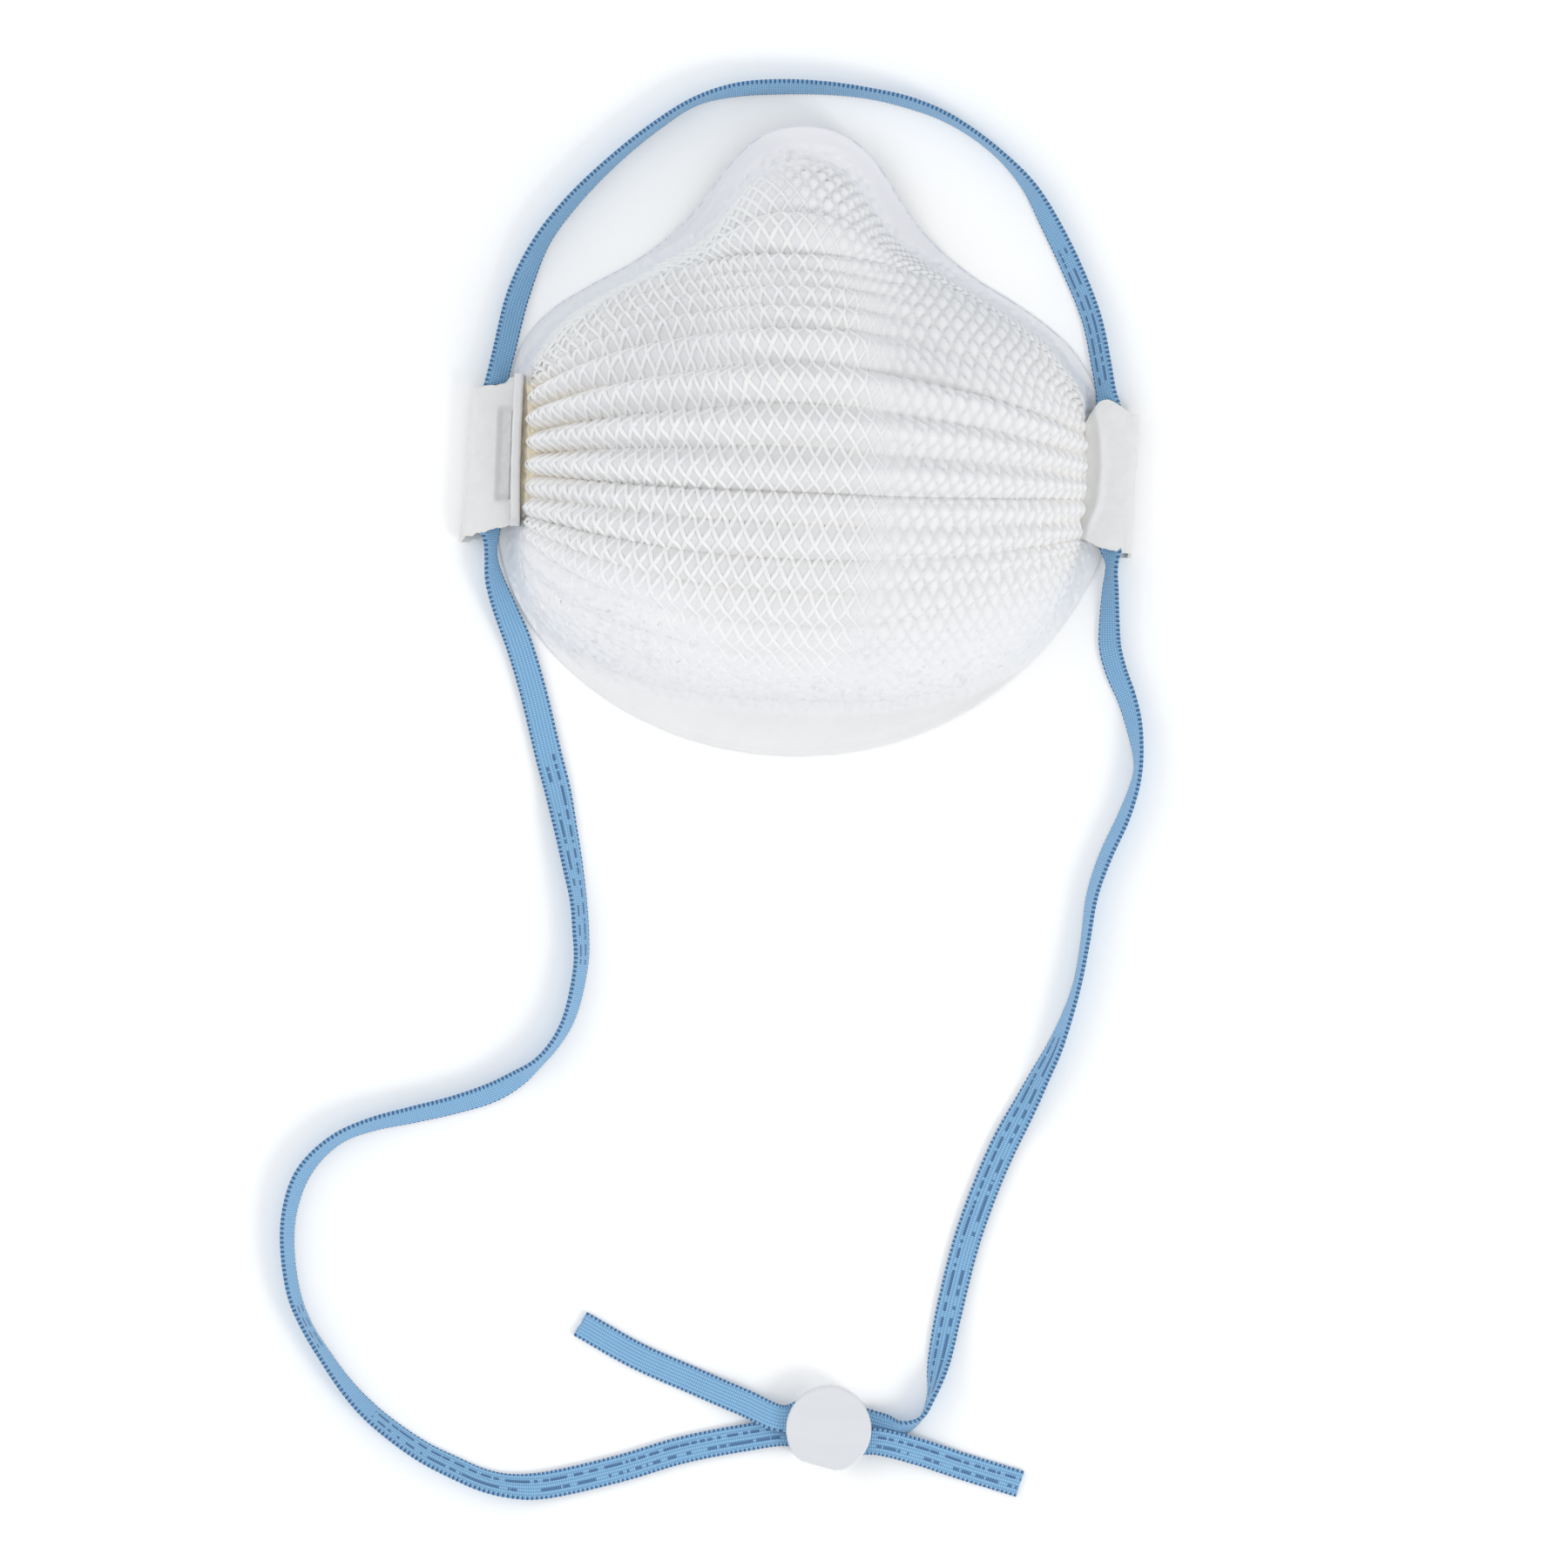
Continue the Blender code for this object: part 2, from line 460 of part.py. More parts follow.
def flat_disc(r, flat, steps=56):
    """A circle cut by one short straight edge at y = -flat."""
    start = -math.pi / 2 + math.acos(flat / r)
    sweep = 2 * math.pi - 2 * math.acos(flat / r)
    return [(r * math.cos(start + sweep * k / steps), r * math.sin(start + sweep * k / steps)) for k in range(steps + 1)]


def disc_object(name, r, flat, z0, z1):
    obj = outline_curve(name, [flat_disc(r, flat)], (z1 - z0) / 2)
    obj.location = (0, 0, (z0 + z1) / 2 * MM)
    obj = to_mesh(obj, parts)
    obj.parent = slide_axis
    return place(obj, PLASTIC, smooth=False)


base = disc_object("buckle_base", BUCKLE_R - 0.2, BUCKLE_FLAT - 0.2, 0.0, BUCKLE_WALL_TOP)
channel = box("strap_channel", (-15, -BUCKLE_CHANNEL_HALF, BUCKLE_FLOOR), (15, BUCKLE_CHANNEL_HALF, 9), cutters)
channel.parent = slide_axis
boolean(base, channel, "DIFFERENCE")
cap = disc_object("buckle_cap", BUCKLE_R, BUCKLE_FLAT, BUCKLE_WALL_TOP + 0.3, BUCKLE_TOP)
edge = cap.modifiers.new("rounded_edge", "BEVEL")
edge.width, edge.segments, edge.limit_method, edge.angle_limit = 0.5 * MM, 2, "ANGLE", math.radians(60)
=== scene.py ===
"""Disposable dust mask: the looks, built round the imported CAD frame. Sizes are in mm."""
import math

import bpy
import numpy as np
from mathutils import Matrix, Vector


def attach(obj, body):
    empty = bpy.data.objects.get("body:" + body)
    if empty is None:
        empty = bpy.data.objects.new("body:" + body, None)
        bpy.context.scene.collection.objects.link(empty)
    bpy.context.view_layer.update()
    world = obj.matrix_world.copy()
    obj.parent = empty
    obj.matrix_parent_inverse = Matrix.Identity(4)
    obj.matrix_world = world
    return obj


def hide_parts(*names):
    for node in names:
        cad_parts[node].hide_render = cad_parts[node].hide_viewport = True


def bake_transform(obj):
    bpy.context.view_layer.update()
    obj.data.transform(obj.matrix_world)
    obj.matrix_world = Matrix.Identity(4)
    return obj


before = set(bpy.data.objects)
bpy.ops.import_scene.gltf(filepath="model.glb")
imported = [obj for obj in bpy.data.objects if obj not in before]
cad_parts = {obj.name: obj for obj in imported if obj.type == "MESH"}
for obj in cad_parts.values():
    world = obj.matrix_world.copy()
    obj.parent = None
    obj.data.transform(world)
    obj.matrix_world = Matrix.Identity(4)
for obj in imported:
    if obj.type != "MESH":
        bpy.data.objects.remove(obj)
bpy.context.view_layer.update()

MM = 0.001
scene = bpy.context.scene

# =============================================================== camera
CAM_TURN = math.radians(2.4)
VIEW_CENTRE, VIEW_WIDTH, CAM_HEIGHT = (-0.71, -78.6), 360.0, 2300.0
cam_data = bpy.data.cameras.new("camera")
cam = bpy.data.objects.new("camera", cam_data)
scene.collection.objects.link(cam)
cam.location = (VIEW_CENTRE[0] * MM, VIEW_CENTRE[1] * MM, CAM_HEIGHT * MM)
cam.rotation_euler = (0, 0, CAM_TURN)
cam_data.sensor_width = 36.0
cam_data.lens = 36.0 * CAM_HEIGHT / VIEW_WIDTH
cam_data.clip_start, cam_data.clip_end = 0.1, 20.0
scene.camera = cam


# =============================================================== small tools
def hash01(i, j, seed):
    n = (i.astype(np.int64) * 374761393 + j.astype(np.int64) * 668265263 + seed * 2147483647) & 0xFFFFFFFF
    n = ((n ^ (n >> 13)) * 1274126177) & 0xFFFFFFFF
    n = ((n ^ (n >> 16)) * 2246822519) & 0xFFFFFFFF
    return ((n ^ (n >> 15)) & 0xFFFFFF) / float(0xFFFFFF)


def noise(x, y, seed=0):
    """Smooth value noise, 0 to 1."""
    x, y = np.broadcast_arrays(np.asarray(x, float), np.asarray(y, float))
    i, j = np.floor(x), np.floor(y)
    u, v = x - i, y - j
    u, v = u * u * (3 - 2 * u), v * v * (3 - 2 * v)
    a, b = hash01(i, j, seed), hash01(i + 1, j, seed)
    c, d = hash01(i, j + 1, seed), hash01(i + 1, j + 1, seed)
    return a * (1 - u) * (1 - v) + b * u * (1 - v) + c * (1 - u) * v + d * u * v


def fbm(x, y, seed=0, octaves=3):
    total, gain, norm = 0.0, 1.0, 0.0
    for k in range(octaves):
        total = total + gain * (noise(x * 2 ** k, y * 2 ** k, seed + 17 * k) - 0.5)
        norm += gain
        gain *= 0.5
    return total / norm * 2


def smooth(a, b, x):
    t = np.clip((np.asarray(x, float) - a) / (b - a), 0, 1)
    return t * t * (3 - 2 * t)


def through(x, stations):
    """A smooth curve through stations of rising x, with slopes that never overshoot."""
    sx = np.array([p[0] for p in stations], float)
    sy = np.array([p[1] for p in stations], float)
    h, rise = np.diff(sx), np.diff(sy) / np.diff(sx)
    slope = np.zeros_like(sy)
    for i in range(1, len(sx) - 1):
        if rise[i - 1] * rise[i] > 0:
            w1, w2 = 2 * h[i] + h[i - 1], h[i] + 2 * h[i - 1]
            slope[i] = (w1 + w2) / (w1 / rise[i - 1] + w2 / rise[i])
    slope[0], slope[-1] = rise[0], rise[-1]
    x = np.clip(np.asarray(x, float), sx[0], sx[-1])
    i = np.clip(np.searchsorted(sx, x, side="right") - 1, 0, len(h) - 1)
    t = (x - sx[i]) / h[i]
    return ((1 + 2 * t) * (1 - t) ** 2 * sy[i] + t * (1 - t) ** 2 * h[i] * slope[i]
            + t * t * (3 - 2 * t) * sy[i + 1] + t * t * (t - 1) * h[i] * slope[i + 1])


def unit(v):
    return v / np.maximum(np.linalg.norm(v, axis=-1, keepdims=True), 1e-12)


def new_mesh(name, points, faces, material, body="mask", slot=None, smooth_faces=True, sharp=None):
    """points in mm; faces a list of index arrays, each of one corner count."""
    mesh = bpy.data.meshes.new(name)
    points = np.asarray(points, float).reshape(-1, 3)
    mesh.vertices.add(len(points))
    mesh.vertices.foreach_set("co", (points * MM).astype(np.float32).ravel())
    faces = [np.asarray(f, np.int32) for f in faces if len(f)]
    loops = np.concatenate([f.ravel() for f in faces])
    counts = np.concatenate([np.full(len(f), f.shape[1], np.int32) for f in faces])
    mesh.loops.add(len(loops))
    mesh.loops.foreach_set("vertex_index", loops)
    mesh.polygons.add(len(counts))
    mesh.polygons.foreach_set("loop_start", np.concatenate([[0], np.cumsum(counts)[:-1]]).astype(np.int32))
    mesh.polygons.foreach_set("loop_total", counts)
    mesh.update(calc_edges=True)
    mesh.validate()
    if smooth_faces:
        mesh.shade_smooth()
        if sharp:
            mesh.set_sharp_from_angle(angle=math.radians(sharp))
    mesh.materials.append(material)
    obj = bpy.data.objects.new(name, mesh)
    scene.collection.objects.link(obj)
    if body:
        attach(obj, body)
    return obj


def attribute(obj, name, values):
    a = obj.data.attributes.new(name, "FLOAT", "POINT")
    a.data.foreach_set("value", np.asarray(values, np.float32).ravel())


def grid_faces(rows, cols, start=0, wrap_rows=False, wrap_cols=False, flip=False):
    i = np.arange(rows if wrap_rows else rows - 1)
    j = np.arange(cols if wrap_cols else cols - 1)
    i, j = np.meshgrid(i, j, indexing="ij")
    i2, j2 = (i + 1) % rows, (j + 1) % cols
    q = np.stack([i * cols + j, i * cols + j2, i2 * cols + j2, i2 * cols + j], -1).reshape(-1, 4) + start
    return q[:, ::-1] if flip else q


def closed_sheet(name, top, bottom, material, **options):
    """A solid between two grids of the same size."""
    rows, cols = top.shape[:2]
    n = rows * cols
    a, b = grid_faces(rows, cols), grid_faces(rows, cols, n, flip=True)
    index = np.arange(n).reshape(rows, cols)
    ring = np.concatenate([index[0, :-1], index[:-1, -1], index[-1, :0:-1], index[:0:-1, 0]])
    nxt = np.roll(ring, -1)
    wall = np.stack([nxt, ring, ring + n, nxt + n], -1)
    pts = np.concatenate([top.reshape(-1, 3), bottom.reshape(-1, 3)])
    return new_mesh(name, pts, [np.concatenate([a, b, wall])], material, **options)


# =============================================================== materials
def shader_of(name):
    m = bpy.data.materials.new(name)
    m.use_nodes = True
    t = m.node_tree
    return m, t, t.nodes["Principled BSDF"]


def node(tree, kind, **values):
    n = tree.nodes.new(kind)
    for k, v in values.items():
        if k.startswith("in_"):
            key = k[3:]
            key = int(key) if key.isdigit() else key.replace("_", " ")
            n.inputs[key].default_value = v
        else:
            setattr(n, k, v)
    return n


def ramp(tree, stops):
    r = tree.nodes.new("ShaderNodeValToRGB")
    while len(r.color_ramp.elements) < len(stops):
        r.color_ramp.elements.new(0.5)
    for e, (p, c) in zip(r.color_ramp.elements, stops):
        e.position = p
        e.color = (*c, 1) if len(c) == 3 else c
    return r


def mix(tree, a, b, factor, blend="MIX"):
    """a, b and factor are sockets or values."""
    n = tree.nodes.new("ShaderNodeMix")
    n.data_type, n.blend_type = "RGBA", blend
    for key, value in ((0, factor), (6, a), (7, b)):
        if isinstance(value, bpy.types.NodeSocket):
            tree.links.new(value, n.inputs[key])
        else:
            n.inputs[key].default_value = value if key == 0 else (*value, 1)
    return n.outputs[2]


def math_node(tree, op, a, b=None, clamp=False):
    n = tree.nodes.new("ShaderNodeMath")
    n.operation, n.use_clamp = op, clamp
    for key, value in ((0, a), (1, b)):
        if value is None:
            continue
        if isinstance(value, bpy.types.NodeSocket):
            tree.links.new(value, n.inputs[key])
        else:
            n.inputs[key].default_value = value
    return n.outputs[0]


def coords(tree, scale=(1, 1, 1)):
    c = tree.nodes.new("ShaderNodeTexCoord")
    m = node(tree, "ShaderNodeMapping")
    m.inputs["Scale"].default_value = scale
    tree.links.new(c.outputs["Object"], m.inputs["Vector"])
    return m.outputs["Vector"]


def noise_node(tree, vector, scale, detail=3.0, rough=0.6, distortion=0.0):
    n = node(tree, "ShaderNodeTexNoise", in_Scale=scale, in_Detail=detail, in_Roughness=rough, in_Distortion=distortion)
    tree.links.new(vector, n.inputs["Vector"])
    return n.outputs["Fac"]


def bump(tree, shader, height, strength, distance):
    b = node(tree, "ShaderNodeBump", in_Strength=strength, in_Distance=distance)
    tree.links.new(height, b.inputs["Height"])
    tree.links.new(b.outputs["Normal"], shader.inputs["Normal"])


def attr(tree, name):
    return node(tree, "ShaderNodeAttribute", attribute_name=name).outputs["Fac"]


def fabric_material(name, base, dark, warm, fibre=1500.0, rough=0.75, sheen=0.15):
    """Nonwoven: fine matted fibres; painted shade makes it slightly warmer and darker in the creases."""
    m, t, s = shader_of(name)
    v = coords(t)
    streak = coords(t, (0.35, 1.0, 1.0))
    fine = noise_node(t, v, fibre, 4, 0.65)
    fibres = noise_node(t, streak, fibre * 0.55, 3, 0.7, 1.2)
    broad = noise_node(t, v, 55.0, 2, 0.5)
    colour = mix(t, dark, base, math_node(t, "MULTIPLY_ADD", fine, 0.6, clamp=True))
    # painted shade: a warm tan tint in the creases and in the pocket by the left tab
    colour = mix(t, colour, warm, attr(t, "warm"))
    colour = mix(t, colour, tuple(c * 0.965 for c in base), math_node(t, "MULTIPLY", broad, 0.35))
    # painted highlight: the tops of the swollen web cells are lighter
    colour = mix(t, colour, (0.83, 0.83, 0.83), math_node(t, "MULTIPLY", attr(t, "swell"), 0.8))
    colour = mix(t, colour, (0.815, 0.815, 0.83), math_node(t, "MULTIPLY", attr(t, "melt"), 0.9))
    t.links.new(colour, s.inputs["Base Color"])
    height = math_node(t, "ADD", math_node(t, "MULTIPLY", fine, 0.5), math_node(t, "MULTIPLY", fibres, 0.7))
    bump(t, s, height, 0.35, 0.00012)
    s.inputs["Roughness"].default_value = rough
    s.inputs["Sheen Weight"].default_value = sheen
    s.inputs["Sheen Roughness"].default_value = 0.5
    return m


COVER = fabric_material("cover_nonwoven", (0.74, 0.74, 0.75), (0.67, 0.67, 0.685), (0.88, 0.76, 0.54))
FELT = fabric_material("filter_felt_look", (0.78, 0.79, 0.80), (0.66, 0.67, 0.69), (0.7, 0.66, 0.6), 900.0, 0.9)
LINING = fabric_material("lining_look", (0.80, 0.80, 0.81), (0.72, 0.72, 0.74), (0.72, 0.68, 0.62), 1100.0, 0.8)


def net_material():
    m, t, s = shader_of("net_plastic")
    v = coords(t)
    fine = noise_node(t, v, 700.0, 2, 0.5)
    colour = mix(t, (0.81, 0.81, 0.805), (0.86, 0.86, 0.85), fine)
    # painted shade: strands sunk between the swollen web cells are darker
    colour = mix(t, colour, (0.735, 0.735, 0.75), attr(t, "swell"))
    # painted shade: the warm crease tint of the cup, carried onto the strands
    colour = mix(t, colour, (0.76, 0.65, 0.47), attr(t, "warm"))
    t.links.new(colour, s.inputs["Base Color"])
    bump(t, s, fine, 0.25, 0.0001)
    s.inputs["Roughness"].default_value = 0.42
    s.inputs["Subsurface Weight"].default_value = 0.0
    return m


NET = net_material()


def flange_material():
    """Pressed nonwoven: smooth, with a faint square-dot calender grain and a few soft blotches."""
    m, t, s = shader_of("pressed_flange")
    v = coords(t)
    fibres = noise_node(t, coords(t, (0.4, 1.0, 1.0)), 700.0, 4, 0.7, 1.5)
    blotch = noise_node(t, v, 120.0, 3, 0.6)
    cells = node(t, "ShaderNodeTexVoronoi", in_Scale=1150.0)
    t.links.new(v, cells.inputs["Vector"])
    mottle = noise_node(t, coords(t, (1.6, 0.5, 1.0)), 420.0, 3, 0.6)
    colour = mix(t, (0.735, 0.735, 0.735), (0.81, 0.81, 0.81), blotch)
    colour = mix(t, colour, (0.82, 0.82, 0.82), math_node(t, "MULTIPLY", mottle, 0.5))
    # painted shade: the upper side of the flange is tinted grey-blue
    colour = mix(t, colour, (0.69, 0.70, 0.755), attr(t, "upper_side_shade"))
    # painted shadow: broken dark blue dashes along the upper outer edge
    colour = mix(t, colour, (0.50, 0.51, 0.66), attr(t, "edge_shadow_dashes"))
    colour = mix(t, colour, (0.80, 0.80, 0.815), math_node(t, "MULTIPLY", attr(t, "foot"), 0.6))
    # painted shade: a tan tint on the heap by the left tab's fold
    colour = mix(t, colour, (0.88, 0.78, 0.57), attr(t, "warm"))
    t.links.new(colour, s.inputs["Base Color"])
    height = math_node(t, "ADD", math_node(t, "MULTIPLY", fibres, 0.6), math_node(t, "MULTIPLY", cells.outputs["Distance"], 0.5))
    bump(t, s, height, 0.30, 0.00015)
    s.inputs["Roughness"].default_value = 0.5
    return m


FLANGE = flange_material()


def tab_material():
    m, t, s = shader_of("tab_laminate_look")
    v = coords(t)
    lumps = noise_node(t, v, 330.0, 3, 0.6)
    fine = noise_node(t, v, 1300.0, 3, 0.6)
    colour = mix(t, (0.685, 0.685, 0.69), (0.76, 0.76, 0.76), lumps)
    # warm: a tint at the open ends, and painted shade on the right tab's rolled-down inner lip
    colour = mix(t, colour, (0.74, 0.71, 0.58), attr(t, "warm"))
    t.links.new(colour, s.inputs["Base Color"])
    bump(t, s, math_node(t, "ADD", math_node(t, "MULTIPLY", lumps, 0.9), math_node(t, "MULTIPLY", fine, 0.25)), 0.4, 0.0003)
    s.inputs["Roughness"].default_value = 0.5
    return m


TAB = tab_material()


def foam_material():
    m, t, s = shader_of("nose_foam_look")
    v = coords(t)
    cells = node(t, "ShaderNodeTexVoronoi", in_Scale=1100.0)
    t.links.new(v, cells.inputs["Vector"])
    # painted shade: the pits of the foam cells are darker
    colour = mix(t, (0.52, 0.53, 0.55), (0.74, 0.75, 0.77), cells.outputs["Distance"])
    t.links.new(colour, s.inputs["Base Color"])
    bump(t, s, cells.outputs["Distance"], 0.6, 0.0004)
    s.inputs["Roughness"].default_value = 0.95
    return m


FOAM = foam_material()


def plastic_material():
    m, t, s = shader_of("buckle_plastic_look")
    v = coords(t)
    fine = noise_node(t, v, 900.0, 3, 0.5)
    broad = noise_node(t, coords(t, (1, 6, 1)), 60.0, 2, 0.5)
    colour = mix(t, (0.65, 0.66, 0.685), (0.705, 0.712, 0.735), broad)
    t.links.new(colour, s.inputs["Base Color"])
    bump(t, s, fine, 0.12, 0.00008)
    s.inputs["Roughness"].default_value = 0.38
    s.inputs["Coat Weight"].default_value = 0.15
    s.inputs["Coat Roughness"].default_value = 0.3
    return m


PLASTIC = plastic_material()


def strap_material():
    """Woven elastic: ribs across the band, dark stitches along both edges, and a broken dark fleck line."""
    m, t, s = shader_of("woven_elastic_look")
    along, across, face = attr(t, "along"), attr(t, "across"), attr(t, "face")
    rib = math_node(t, "SINE", math_node(t, "MULTIPLY", along, 2 * math.pi / 0.52))
    rib01 = math_node(t, "MULTIPLY_ADD", rib, 0.5)
    t.nodes[-1].inputs[2].default_value = 0.5
    wale = math_node(t, "SINE", math_node(t, "MULTIPLY", across, 2 * math.pi / 0.78))
    wale01 = math_node(t, "MULTIPLY_ADD", wale, 0.5)
    t.nodes[-1].inputs[2].default_value = 0.5
    knit = math_node(t, "MULTIPLY", rib01, wale01)
    v = node(t, "ShaderNodeCombineXYZ")
    t.links.new(along, v.inputs[0])
    t.links.new(across, v.inputs[1])
    blotch = noise_node(t, v.outputs[0], 0.35, 3, 0.6)
    colour = mix(t, (0.135, 0.315, 0.54), (0.41, 0.675, 0.91), knit)
    colour = mix(t, colour, (0.22, 0.45, 0.70), math_node(t, "MULTIPLY", blotch, 0.45))
    # dark stitches along both edges
    edge = math_node(t, "GREATER_THAN", math_node(t, "ABSOLUTE", across), 2.45)
    stitch = math_node(t, "GREATER_THAN", math_node(t, "SINE", math_node(t, "MULTIPLY", along, 2 * math.pi / 1.04)), 0.15)
    dark = math_node(t, "MULTIPLY", edge, stitch)
    colour = mix(t, colour, (0.018, 0.055, 0.16), math_node(t, "MULTIPLY", dark, 0.85))
    # two plain broken lines run along one face, for the printing that real bands carry
    row = math_node(t, "LESS_THAN", math_node(t, "ABSOLUTE", math_node(t, "SUBTRACT", math_node(t, "ABSOLUTE", across), 1.05)), 0.36)
    v2 = node(t, "ShaderNodeCombineXYZ")
    t.links.new(along, v2.inputs[0])
    t.links.new(math_node(t, "GREATER_THAN", across, 0.0), v2.inputs[1])
    gaps = math_node(t, "GREATER_THAN", noise_node(t, v2.outputs[0], 0.55, 1, 0.4), 0.47)
    runs = attr(t, "printed")
    marks = math_node(t, "MULTIPLY", math_node(t, "MULTIPLY", row, gaps), math_node(t, "MULTIPLY", runs, face))
    colour = mix(t, colour, (0.035, 0.10, 0.24), math_node(t, "MULTIPLY", marks, 0.78))
    t.links.new(colour, s.inputs["Base Color"])
    bump(t, s, math_node(t, "ADD", math_node(t, "MULTIPLY", rib01, 0.8), math_node(t, "MULTIPLY", wale01, 0.5)), 0.5, 0.00025)
    s.inputs["Roughness"].default_value = 0.8
    s.inputs["Sheen Weight"].default_value = 0.2
    return m


STRAP = strap_material()

# =============================================================== the strap, first of all
STRAP_WIDTH, STRAP_THICK = 6.2, 0.95
ROUTE = [
    (60.0, -236.8, 0.7, 0), (47.0, -233.4, 0.8, 0), (36.0, -230.2, 2.4, 0), (26.6, -228.3, 3.6, 0), (20.8, -228.7, 3.5, 0),
    (15.2, -229.1, 2.4, 0), (10.6, -228.1, 2.05, 0), (6.2, -227.2, 2.0, 0), (-4.0, -229.0, 1.0, 4), (-18.0, -232.4, 0.9, 5), (-32.0, -237.2, 0.9, 5),
    (-50.0, -241.9, 1.3, 12), (-57.0, -242.1, 2.2, 32), (-63.0, -241.0, 2.5, 39), (-70.0, -238.3, 2.6, 41), (-77.2, -235.0, 2.75, 46),
    (-86.0, -229.3, 2.9, 52), (-91.1, -225.1, 3.0, 56), (-95.8, -220.1, 3.1, 63), (-100.5, -213.9, 3.15, 68), (-104.7, -207.7, 3.2, 71),
    (-108.1, -200.2, 3.15, 67), (-110.2, -187.5, 3.1, 65), (-109.6, -179.5, 3.1, 62), (-107.5, -173.0, 3.05, 60), (-104.0, -168.0, 3.1, 64),
    (-98.8, -163.6, 3.15, 67), (-91.8, -160.5, 3.1, 62), (-82.5, -157.9, 2.9, 54), (-73.0, -155.2, 2.8, 50), (-64.5, -152.0, 2.7, 45),
    (-58.8, -148.5, 2.9, 54), (-54.6, -145.0, 3.2, 72), (-50.6, -140.1, 3.2, 73), (-47.6, -133.8, 3.15, 67), (-45.5, -121.5, 3.05, 62),
    (-45.9, -114.0, 3.0, 57), (-46.7, -107.3, 3.0, 56), (-48.6, -98.3, 2.65, 43), (-50.4, -90.7, 2.3, 33), (-52.6, -82.0, 1.6, 14),
    (-54.9, -74.5, 1.3, 5), (-59.3, -59.2, 1.3, 5), (-63.0, -48.6, 1.6, 8), (-66.4, -41.0, 2.3, 28), (-69.0, -34.5, 3.1, 50),
    (-70.0, -29.3, 3.4, 67), (-70.2, -25.2, 3.75, 60), (-70.9, -20.8, 3.75, 16), (-71.4, -15.0, 3.75, 0), (-71.4, -5.5, 3.75, 0), (-70.8, 6.2, 3.75, 10),
    (-70.1, 12.2, 3.7, 36), (-68.9, 18.5, 3.1, 36), (-66.3, 31.0, 2.5, 35), (-61.5, 43.3, 3.0, 57), (-54.5, 53.3, 3.1, 65), (-45.0, 63.4, 3.2, 73),
    (-36.0, 71.2, 3.25, 77), (-27.5, 77.0, 3.25, 79), (-18.2, 80.0, 3.15, 67), (-8.0, 81.1, 3.05, 64), (3.0, 81.2, 3.15, 69), (12.4, 80.4, 3.2, 74),
    (21.0, 78.8, 3.2, 72), (29.0, 76.2, 3.2, 76), (36.3, 72.3, 3.25, 80), (43.6, 66.9, 3.25, 78), (49.8, 60.5, 3.1, 65), (54.8, 52.5, 2.7, 50),
    (60.2, 42.5, 2.6, 45), (65.3, 31.0, 2.75, 47), (68.1, 19.8, 3.1, 46), (69.4, 13.6, 3.6, 44), (70.3, 8.5, 3.75, 8), (70.8, -4.0, 3.75, 0),
    (71.7, -19.2, 3.75, 14), (72.2, -24.6, 3.8, 66), (72.2, -31.0, 3.2, 58), (72.3, -38.5, 2.8, 46), (72.7, -44.2, 2.6, 39), (74.4, -49.8, 2.65, 41),
    (76.9, -55.4, 2.85, 49), (78.8, -61.3, 3.0, 57), (80.0, -67.5, 3.2, 71), (80.3, -71.5, 3.25, 79), (79.6, -76.0, 3.2, 75), (77.3, -83.3, 3.15, 67),
    (73.7, -92.0, 3.15, 66), (71.0, -101.1, 3.2, 70), (69.8, -112.0, 3.25, 77), (68.4, -121.6, 3.25, 79), (66.2, -129.7, 3.2, 70), (63.7, -136.7, 3.0, 57),
    (60.8, -143.0, 2.7, 45), (57.8, -149.6, 2.2, 30), (53.6, -158.4, 1.3, 8), (50.4, -166.4, 1.3, 8), (47.3, -175.6, 1.2, 6), (45.1, -183.5, 1.2, 6),
    (42.0, -199.0, 1.5, 14), (40.3, -209.8, 2.3, 38), (38.9, -217.5, 3.3, 78), (36.7, -222.6, 3.3, 94), (32.4, -225.0, 2.9, 125), (28.2, -224.9, 2.2, 168),
    (24.0, -224.0, 2.05, 180), (16.6, -222.4, 2.05, 180), (11.4, -221.8, 3.2, 180), (5.4, -224.0, 3.8, 180), (-4.0, -220.7, 2.6, 180),
    (-16.0, -216.2, 0.9, 180), (-29.0, -211.1, 0.8, 180), (-42.1, -204.4, 0.7, 180)]


def smooth_route(route, per_leg):
    p = np.array(route, float)
    p = np.concatenate([[2 * p[0] - p[1]], p, [2 * p[-1] - p[-2]]])
    gaps = np.maximum(np.linalg.norm(np.diff(p[:, :3], axis=0), axis=1) ** 0.5, 1e-6)
    t = np.concatenate([[0], np.cumsum(gaps)])
    out = []
    for i in range(1, len(p) - 2):
        count = per_leg if i < len(p) - 3 else per_leg + 1
        for u in np.arange(count) / per_leg * (t[i + 1] - t[i]) + t[i]:
            a = [p[i + k] * (t[i + 1 + k] - u) / (t[i + 1 + k] - t[i + k]) + p[i + 1 + k] * (u - t[i + k]) / (t[i + 1 + k] - t[i + k])
                 for k in (-1, 0, 1)]
            b = [a[k] * (t[i + 1 + k] - u) / (t[i + 1 + k] - t[i - 1 + k]) + a[k + 1] * (u - t[i - 1 + k]) / (t[i + 1 + k] - t[i - 1 + k])
                 for k in (0, 1)]
            out.append(b[0] * (t[i + 1] - u) / (t[i + 1] - t[i]) + b[1] * (u - t[i]) / (t[i + 1] - t[i]))
    return np.array(out)


